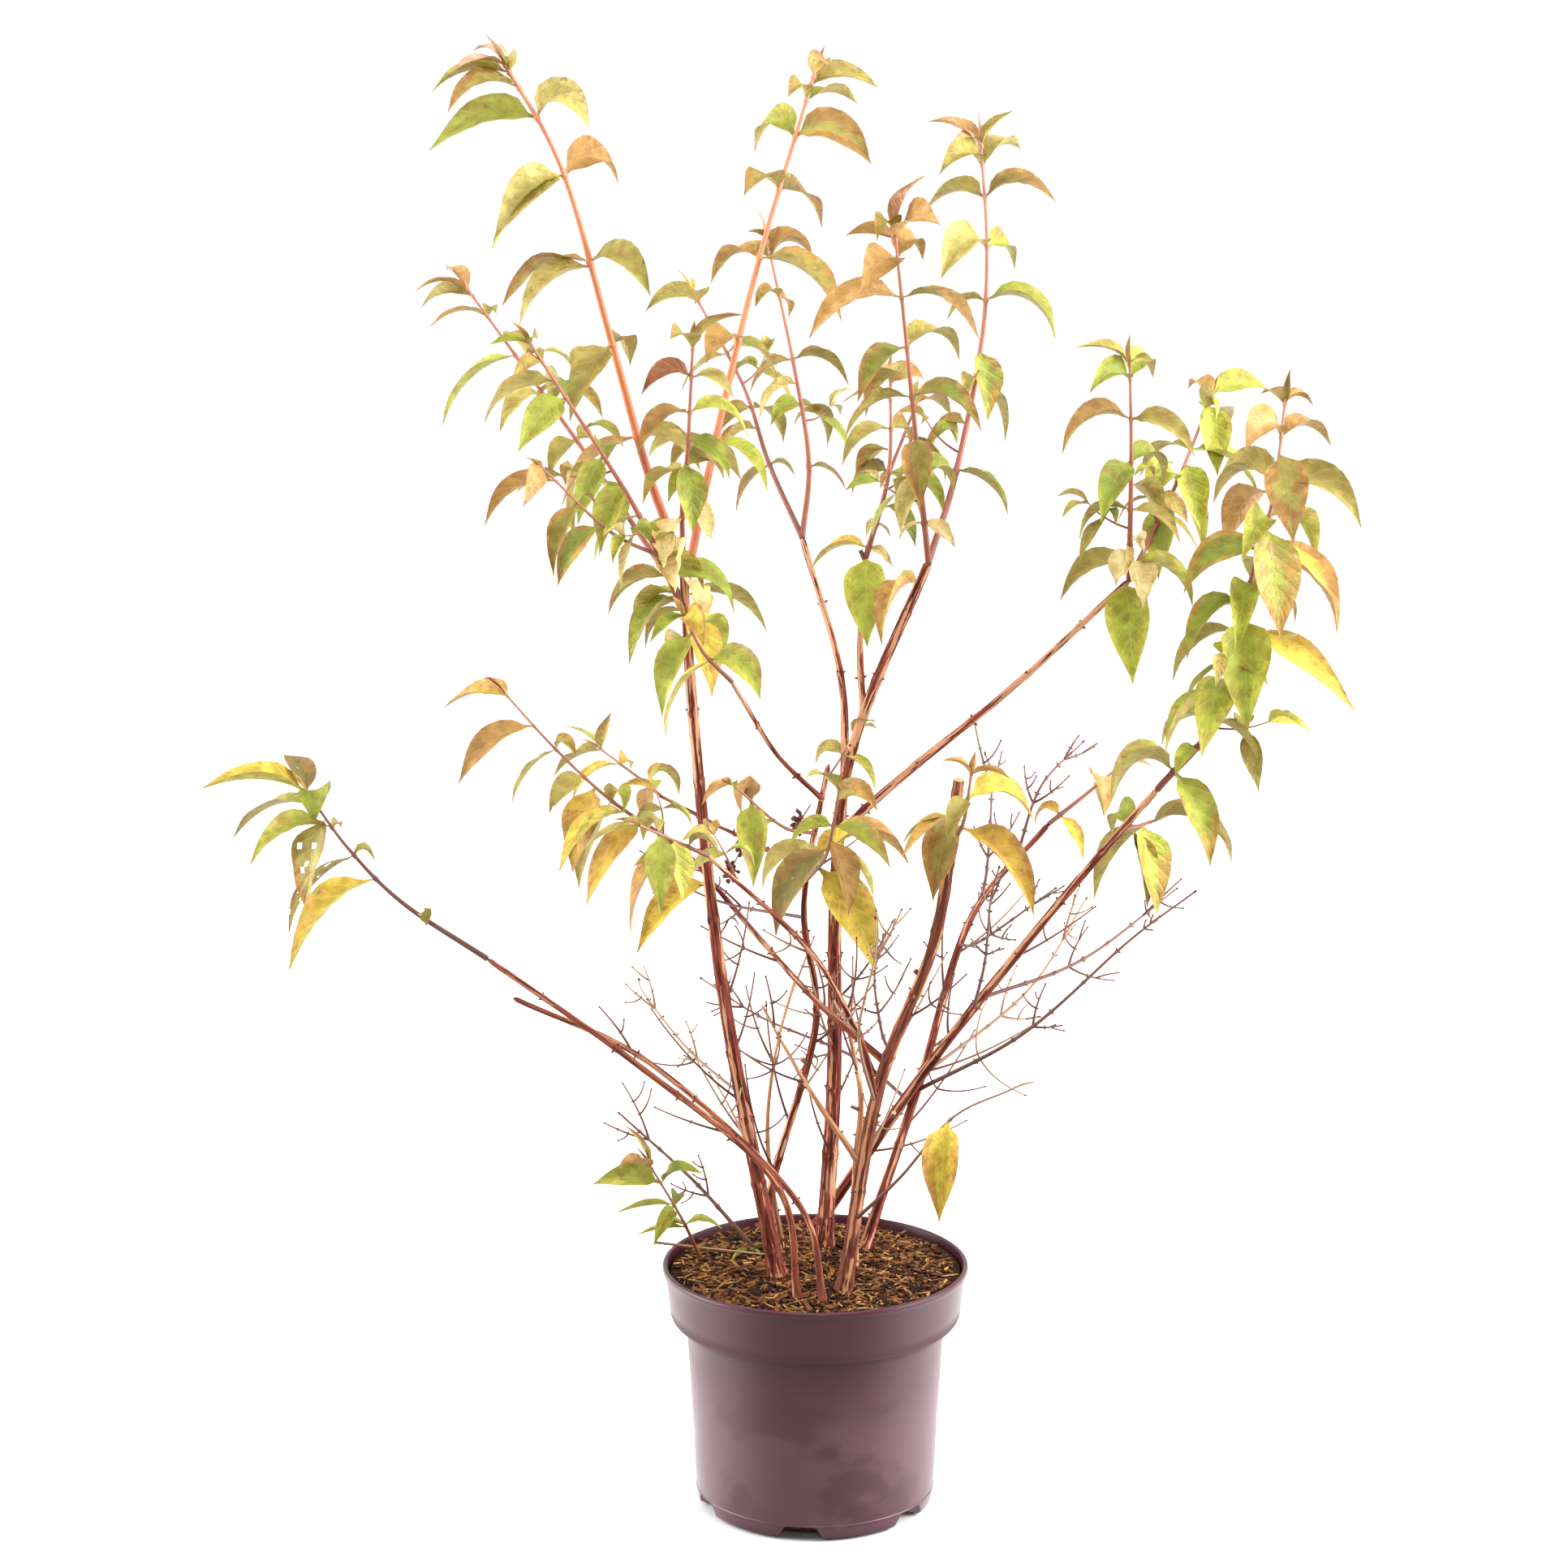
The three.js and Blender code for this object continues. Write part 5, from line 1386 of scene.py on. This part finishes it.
def blade(gather, length, held, tint, seed, holes=0):
    """Adds one leaf to the gatherer."""
    chance = np.random.default_rng(seed)
    dried = tint in "cd"
    rows, columns = BIG_GRID if length >= SMALL_LEAF else SMALL_GRID
    if holes:
        rows, columns = HOLED_GRID
    u, v = np.meshgrid(np.linspace(0, 1, rows), np.linspace(-1, 1, columns), indexing="ij")
    u = u + VEIN_SLANT * np.abs(v) * (u * (1 - u)) ** 1.5
    fold = chance.uniform(*FOLDS) * (DRIED_FOLD if dried else 1)
    twist = chance.uniform(*TWISTS) * (DRIED_TWIST if dried else 1)
    ruffle = chance.uniform(*RUFFLES) * (DRIED_RUFFLE if dried else 1)
    phase, waves = chance.uniform(*PHASES), chance.uniform(*WAVES)
    tip_curl = chance.uniform(*TIP_CURLS) * length

    foot, heading = held["foot"], held["heading"]
    arm = held.get("arm", LEAF_ARM)
    bend = foot + heading * arm * length
    tip = bend + unit(heading - UP * held["sag"]) * (LEAF_ARM + LEAF_DROP - arm) * length
    level = unit(np.cross(heading, UP))
    times = np.linspace(0, 1, SPINE_MARKS)
    spine = arch(foot, bend, tip, times[:, None])[0]
    run = np.concatenate([[0], np.cumsum(np.linalg.norm(np.diff(spine, axis=0), axis=1))])
    centre, tangent = arch(foot, bend, tip, np.interp(u, run / run[-1], times)[..., None])
    roll = (held["roll"] + twist * (u - TWIST_MIDDLE))[..., None]
    edge = level * np.cos(roll) + np.cross(level, tangent) * np.sin(roll)
    normal = np.cross(edge, tangent)

    wide = half_width(u, length, held["breadth"])
    reach, closing = np.abs(v), fold * np.clip(4 * u, 0.01, 1)
    sideways = np.sign(v) * np.sin(closing * reach) / closing
    height = (1 - np.cos(closing * reach)) / closing + VALLEY * min(1, fold) * reach
    ribs = QUILT * (np.arange(rows) % 2)[:, None] * (1 - reach**3) * (reach > 0) * (u > 0.1)
    wave = ruffle * np.sin(waves * 2 * math.pi * u + phase + 2 * np.sign(v)) * reach**2
    lift = wide * (height + ribs + wave)
    lift -= tip_curl * np.clip(u - TIP_CURL_FROM, 0, 1) ** 2 * 4
    top = centre + (sideways * wide)[..., None] * edge + lift[..., None] * normal
    if dried:
        top = crumple(top, u, length)
    thick = mix(PETIOLE_WIDE * 1.6, BLADE_THICK, np.clip((u - 0.03) * 12, 0, 1))
    thick = thick + MIDRIB_THICK * (reach == 0) * (1 - u)
    under = top - thick[..., None] * normal
    add_sheet(gather, top, under, u, reach, tint, chance, holes)


def leaf_tone(heart, margin, share, reach, patch, under_share):
    """The colour a face wants: the heart's, turning towards the margin and the tip."""
    turned_here = smooth(0.4, 1.1, reach * 0.7 + share * 0.6 + patch * 0.55)
    return mix(mix(heart, margin, turned_here), UNDERSIDE, under_share)


def add_sheet(gather, top, under, u, reach, tint, chance, holes):
    """Joins both faces of a blade at its margin, walls its holes, and deals the colours."""
    rows, columns = u.shape
    kept = np.ones((rows - 1, columns - 1), bool)
    for _ in range(holes):
        kept[chance.integers(3, rows - 3), chance.integers(0, columns - 1)] = False
    offset = Vector(chance.uniform(-50, 50, 3))
    heart, margin = (values(code) for code in TINTS[tint])
    margin = mix(heart, margin, chance.uniform(0.35, 1.1))
    if chance.random() < BRONZED_SHARE and tint in "lghopye":
        margin = mix(margin, BRONZED, chance.uniform(0.5, 1.0))
    under_share = 0 if tint in "cd" else UNDER_SHARE
    inner = np.zeros((rows, columns), bool)
    inner[1:-1, 1:-1] = True
    above = np.arange(rows * columns).reshape(rows, columns)
    below = above.copy()
    below[inner] = rows * columns + np.arange(inner.sum())
    faces, slots = [], []

    def add_face(corners, tone):
        faces.append(list(dict.fromkeys(int(c) for c in corners)))
        slots.append(int(np.argmin(((LEAF_VALUES - tone) ** 2).sum(axis=1))))

    def add_cell(grid, k, c, tone, order):
        """A square cell. A corner cell of the blade is two triangles from its inner point,
        because there the blade's two faces would share the other diagonal."""
        spots = ((k, c), (k, c + 1), (k + 1, c + 1), (k + 1, c))[::order]
        ring = [grid[spot] for spot in spots]
        if k in (0, rows - 2) and c in (0, columns - 2):
            inmost = spots.index((max(k, 1), max(c, 1)))
            ring = ring[inmost:] + ring[:inmost]
            add_face(ring[:3], tone)
            ring = [ring[0], ring[2], ring[3]]
        add_face(ring, tone)

    for k, c in zip(*np.nonzero(kept)):
        cell = (slice(k, k + 2), slice(c, c + 2))
        share, out = u[cell].mean(), reach[cell].mean()
        patch = noise.noise(Vector((share * 3.2, c * 0.35, 0)) + offset)
        upper, lower = (leaf_tone(heart, margin, share, out, patch, s) for s in (0, under_share))
        add_cell(above, k, c, upper, 1)
        add_cell(below, k, c, lower, -1)
        sides = (((k - 1, c), (k, c + 1), (k, c)), ((k + 1, c), (k + 1, c), (k + 1, c + 1)),
                 ((k, c - 1), (k, c), (k + 1, c)), ((k, c + 1), (k + 1, c + 1), (k, c + 1)))
        for near, start, end in sides:
            inside = 0 <= near[0] < rows - 1 and 0 <= near[1] < columns - 1
            if inside and not kept[near]:
                add_face((above[start], above[end], below[end], below[start]), upper)
    on_leaf = np.stack([u, reach, np.zeros(u.shape)], axis=-1)
    on_leaf = np.concatenate([on_leaf.reshape(-1, 3), on_leaf[inner]])
    points = np.concatenate([top.reshape(-1, 3), under[inner]])
    gather.add(points, faces, slots, on_leaf=on_leaf)


# %% Leaves on every shoot
# How many cells an eaten leaf lacks, by shoot, hand and pair. Hand 0 is a single leaf, and
# then the last number is its share.
HOLES = {
    ("shoot_low_left", -1, 2): 7, ("shoot_right_low", -1, 0): 1, ("shoot_right_low", -1, 1): 3,
    ("shoot_thin_left", -1, 3): 2, ("shoot_low_left", 1, 5): 1, ("shoot_mid_left", -1, 3): 1,
    ("shoot_low_left", 0, 0.86): 7,
}
BUD_TINTS = {"shoot_tall_left": "k", "shoot_centre_front": "k", "shoot_centre_tall": "k",
             "shoot_outer_left": "k", "shoot_tall_middle": "t", "shoot_far_right": "B"}


def leaves_of(shoot):
    """Pairs of leaves up a shoot by the rule it grows by, and a young one at its end."""
    name, seed, hang = shoot["name"], shoot["seed"], shoot["hang"]
    way, draw = LIMBS[name]["way"], seeded(seed)
    gather = Gather()
    for order, node in enumerate(shoot["nodes"]):
        for hand, side in ((-1, "left"), (1, "right")):
            held = stance(way, hang, min(node, LAST_NODE), order, hand, draw)
            leaf = shoot[side].split()[order]
            if leaf != "-":
                holes = HOLES.get((name, hand, order), 0)
                leaf_seed = seed * 100 + order * 2 + (hand > 0)
                blade(gather, int(leaf[1:]), held, leaf[0], leaf_seed, holes)
    held = stance(way, hang, LAST_NODE, len(shoot["nodes"]), 1, draw)
    held.update(heading=way.along(1), sag=BUD_SAG, breadth=BUD_BREADTH)
    blade(gather, BUD_LENGTH, held, BUD_TINTS.get(name, "t"), seed * 100 + 99)
    return gather


total = 0
for shoot in SHOOTS:
    piece = leaves_of(shoot).build(f"leaves_{shoot['name']}", leaf_finishes, 55)
    hand_over(piece, "foliage", shoot["name"])
    total += len(piece.data.polygons)
print("leaf pieces:", len(SHOOTS), "faces:", total)

# %% Single leaves that fill the crown
# These hang between the pairs, most of them with their broad face to the front. Each limb is
# followed by its leaves: share, heading (right, back, up), tint with length, and sag.
SINGLE_LEAVES = [
    ("shoot_short_left",
     (0.54, (0.2, -1, 0.25), "g56", 3.0), (0.27, (-0.6, -0.8, 0.2), "c42", 2.4),
     (0.17, (-0.25, -1, 0.1), "c46", 3.0), (0.3, (0.9, -0.5, 0.1), "c34", 2.0),
     (0.5, (-0.7, 0.6, 0.3), "o56", 1.6), (0.62, (0.9, 0.5, 0.3), "p58", 1.8)),
    ("cane_left",
     (0.985, (0.6, -0.8, 0.1), "c40", 1.5), (0.955, (-0.9, -0.5, 0.2), "g78", 3.0),
     (0.94, (-1, 0.1, 0.3), "o52", 2.6), (0.9, (-0.3, 0.8, 0.3), "g66", 3.0),
     (0.945, (0.65, -0.75, 0.1), "y74", 3.2), (0.96, (1, 0.4, 0.5), "h84", 1.4)),
    ("shoot_outer_left",
     (0.66, (-0.8, -0.5, 0.3), "p54", 2.0), (0.84, (0.7, -0.6, 0.3), "o46", 2.0)),
    ("shoot_back_left", (0.45, (-0.8, -0.4, 0.3), "o54", 2.0)),
    ("shoot_back", (0.52, (-0.8, -0.5, 0.3), "p52", 2.0)),
    ("shoot_front_left",
     (0.1, (-0.8, 0.5, 0.3), "g58", 2.4), (0.24, (0.8, 0.5, 0.3), "o54", 2.0),
     (0.5, (-0.5, -0.8, 0.3), "h56", 2.6)),
    ("shoot_outer_left", (0.4, (0.5, -0.8, 0.3), "g52", 2.4)),
    ("bough_centre", (1.0, (0.0, -1, 0.35), "l76", 3.2)),
    ("cane_centre", (0.97, (-0.6, -0.6, 0.3), "e78", 3.4)),
    ("shoot_centre_front",
     (0.4, (0.1, -1, 0.3), "o58", 3.0), (0.58, (-0.7, 0.6, 0.3), "p62", 2.2)),
    ("shoot_centre_tall",
     (0.35, (-0.7, 0.6, 0.3), "o58", 2.2), (0.52, (0.2, -1, 0.3), "g60", 3.0)),
    ("shoot_centre_low",
     (0.3, (0.7, -0.6, 0.3), "G52", 2.4), (0.62, (-0.7, 0.6, 0.3), "b50", 2.2)),
    ("bough_right", (0.985, (0.1, -1, 0.3), "l84", 3.0)),
    ("shoot_right_front",
     (0.1, (0.4, -0.9, 0.2), "c40", 2.4), (0.14, (-0.6, -0.7, 0.3), "c30", 2.0),
     (0.45, (0.6, 0.7, 0.3), "g60", 2.2)),
    ("shoot_right_back",
     (0.93, (0.2, -1, 0.3), "l62", 3.0), (0.42, (-0.3, -1, 0.3), "g66", 3.0),
     (0.62, (0.4, -1, 0.3), "l58", 2.8)),
    ("shoot_far_right",
     (0.48, (0, -1, 0.3), "l94", 3.0), (0.51, (-1, -0.2, 0.5), "g78", 3.0),
     (0.62, (0.3, 0.8, 0.3), "h92", 3.0), (0.7, (0.2, -0.9, 0.3), "h90", 3.2),
     (0.78, (-0.5, 0.8, 0.3), "t88", 2.6), (0.87, (0.2, -0.9, 0.3), "o74", 3.0),
     (0.28, (-0.9, -0.3, 0.3), "g76", 2.6)),
    ("shoot_middle",
     (0.62, (0.5, -0.8, 0.2), "b62", 3.0), (0.4, (-0.7, 0.6, 0.3), "o66", 2.2)),
    ("cane_cut", (0.93, (-0.5, -0.8, 0.2), "o68", 3.0)),
    ("shoot_cut", (0.5, (-0.9, -0.3, 0.4), "e62", 1.6)),
    ("shoot_rear_left", (1.0, (0.2, -0.5, 1), "g42", 0.3)),
    ("shoot_mid_left",
     (0.28, (-0.9, -0.5, 0.2), "y82", 1.8), (0.12, (0.4, -0.9, 0.2), "h56", 2.8)),
    ("shoot_front_low", (0.5, (0.3, -1, 0.3), "h48", 2.8)),
    ("shoot_right_low", (0.35, (0.3, -1, 0.3), "l78", 3.0)),
    ("twig_low_right", (0.71, (-0.25, -0.95, -0.2), "y74", 3.4)),
    ("shoot_low_left", (0.86, (-0.35, -0.9, 0.1), "o78", 3.0)),
    ("shoot_far_right", (0.45, (1, -0.35, -0.3), "y98", 0.5)),
    ("shoot_tall_left",
     (0.77, (-0.75, -0.6, 0.0), "l84", 1.7), (0.6, (-0.9, -0.3, 0.1), "p74", 1.6)),
    ("bough_mid_left", (0.86, (-0.9, -0.5, -0.1), "y84", 1.3)),
    ("shoot_mid_left", (0.45, (-0.45, -0.85, 0.1), "e74", 2.4)),
    ("sprout_rim",
     (0.42, (-1, -0.2, 0.25), "l38", 0.5), (0.66, (-1, -0.1, 0.2), "l44", 0.5)),
]
HUNG_ARM, REACHING_ARM, FACE_ON = 0.16, 0.38, -0.65
DRIED_WIDTH, FACE_WIDTH, SINGLE_ROLL = 0.85, 0.52, 0.4


def add_single(gather, limb, share, towards, leaf, sag, seed):
    """One leaf at a place on a limb, held as its row says."""
    tint, length = leaf[0], int(leaf[1:])
    hung = towards[1] < FACE_ON
    breadth = DRIED_WIDTH if tint == "c" else FACE_WIDTH if hung else LEAF_WIDTH
    arm = HUNG_ARM if hung else REACHING_ARM
    held = {"foot": LIMBS[limb]["way"].at(share), "heading": unit(np.array(towards, float)),
            "sag": sag, "roll": SINGLE_ROLL * math.sin(seed), "breadth": breadth, "arm": arm}
    blade(gather, length, held, tint, seed, HOLES.get((limb, 0, share), 0))


single = Gather()
single_rows = [(limb, *leaf) for limb, *leaves in SINGLE_LEAVES for leaf in leaves]
for order, row in enumerate(single_rows):
    add_single(single, *row, 9000 + order)
single_leaves = single.build("single_leaves", leaf_finishes, 55)
hand_over(single_leaves, "foliage")
print("single leaves:", len(single_rows), "faces:", len(single_leaves.data.polygons))

# %% Side sprigs with small leaves
# Each row: shoot, share, hand, reach of the sprig, length of its leaves, and their four tints.
SPRIG_ROWS = [
    ("shoot_outer_left", 0.42, -1, 44, 42, "oogp"), ("shoot_back", 0.4, 1, 40, 38, "ogpo"),
    ("shoot_outer_left", 0.6, 1, 40, 40, "goho"), ("shoot_front_left", 0.36, -1, 40, 38, "oghp"),
    ("shoot_front_left", 0.55, -1, 40, 40, "ophg"), ("shoot_back_left", 0.62, 1, 42, 40, "gooh"),
    ("shoot_centre_front", 0.2, -1, 38, 36, "gogo"), ("shoot_centre_low", 0.4, 1, 36, 36, "obGo"),
    ("shoot_centre_tall", 0.28, -1, 40, 38, "ogoh"), ("shoot_far_right", 0.38, -1, 46, 46, "ghol"),
    ("shoot_far_right", 0.2, 1, 46, 46, "holy"), ("shoot_right_back", 0.3, -1, 40, 38, "gohl"),
    ("shoot_right_front", 0.25, -1, 38, 38, "ogho"), ("shoot_middle", 0.3, 1, 40, 42, "yheo"),
    ("shoot_mid_left", 0.1, 1, 38, 36, "ogeh"), ("bough_front_left", 0.86, 1, 40, 38, "hgob"),
    ("bough_mid_left", 0.9, -1, 40, 38, "eohg"), ("cane_slim", 0.97, 1, 42, 40, "ohgB"),
]
SPRIG_STEM, SPRIG_PAIRS = (0.85, 0.5), (0.55, 0.97)


def add_sprig(leaves, stems, limb, share, hand, reach, length, tints, order):
    """A short side stem that carries two pairs of small leaves."""
    way, draw = LIMBS[limb]["way"], seeded(900 + order)
    held = stance(way, 1, share, order, hand, draw)
    bend = held["foot"] + held["heading"] * 0.5 * reach
    twig = Bend(held["foot"], bend, bend + unit(way.along(share) + held["heading"]) * 0.5 * reach)
    stem(stems, twig, SPRIG_STEM, SALMON, sides=6, step=4.0)
    for order_on, tint in enumerate(tints):
        level, side = divmod(order_on, 2)
        leaf_held = stance(twig, 1, SPRIG_PAIRS[level], level, (-1, 1)[side], draw)
        blade(leaves, length * (1 - 0.2 * level), leaf_held, tint, 9500 + order * 4 + order_on)


sprig_leaves, sprig_stems = Gather(), Gather()
for order, row in enumerate(SPRIG_ROWS):
    add_sprig(sprig_leaves, sprig_stems, *row, order)
small_leaves = sprig_leaves.build("sprig_leaves", leaf_finishes, 55)
small_stems = sprig_stems.build("sprig_stems", wood_finishes, 60)
for piece in (small_leaves, small_stems):
    hand_over(piece, "foliage")
print("sprigs:", len(SPRIG_ROWS), "faces:", len(small_leaves.data.polygons))

# %% Last year's seed heads and a twig on the compost
# Three dry seed heads hang on in the middle, each a dark knot of capsules. A dead twig lies
# across the pot's rim, and a seedling's few green blades come up beside the left cane.
CAPSULES, HEAD_SPREAD, CAPSULE_LENGTH, STALK = 36, (5, 5, 9), 3.2, (16, 6)
SEED_HEADS = [((-54.5, 50, 494), (0.1, -0.2, -1)), ((-63.6, 50, 477), (-0.5, 0, -1)),
              ((-12, 40, 516), (-0.6, 0.1, -1))]
DEAD_TWIG = [(-121.9, 24.9, 193.5), (-82.5, 21.3, 190), (-36.4, 14, 187.5)]
SEEDLING_FOOT = (-50, 30, 184)
SEEDLING_BLADES = [((-0.7, -0.8, 0.5), 26), ((-0.9, 0.3, 0.6), 20), ((0.7, 0.4, 0.8), 22),
                   ((0.5, -0.6, 0.7), 18), ((-1, -0.2, 0.9), 14)]

heads = Gather()
for order, (spot, lean) in enumerate(SEED_HEADS):
    chance = np.random.default_rng(70 + order)
    spot, lean = np.array(spot, float), unit(np.array(lean, float))
    stalk_foot, stalk_bend = (spot - lean * back for back in STALK)
    stalk, _ = arch(stalk_foot, stalk_bend, spot, np.linspace(0, 1, 6)[:, None])
    points, faces = tube(stalk, 0.55, 6)
    heads.add(points, faces, DARK, age=np.full(len(points), 0.3))
    for _ in range(CAPSULES):
        off = chance.normal(0, 0.45, 3) * HEAD_SPREAD
        towards = unit(off + lean * 2)
        bud(heads, spot + off, towards, CAPSULE_LENGTH * chance.uniform(0.7, 1.1), 1.6)
way = Way(DEAD_TWIG)
stem(heads, way, (1.2, 0.7), PALE, (0.3, 0.62), sides=8, step=5.0)
seed_heads = heads.build("seed_heads_and_dead_twig", wood_finishes, 60)
hand_over(seed_heads, "bark")

seedling = Gather()
for order, (towards, length) in enumerate(SEEDLING_BLADES):
    held = {"foot": np.array(SEEDLING_FOOT, float), "heading": unit(np.array(towards, float)),
            "sag": 1.0, "roll": 0.3 * (order - 2), "breadth": 0.34}
    blade(seedling, length, held, "G" if order % 2 else "g", 9900 + order)
green_blades = seedling.build("seedling", leaf_finishes, 55)
hand_over(green_blades, "foliage")
print("capsules:", CAPSULES * len(SEED_HEADS), "seedling blades:", len(SEEDLING_BLADES))
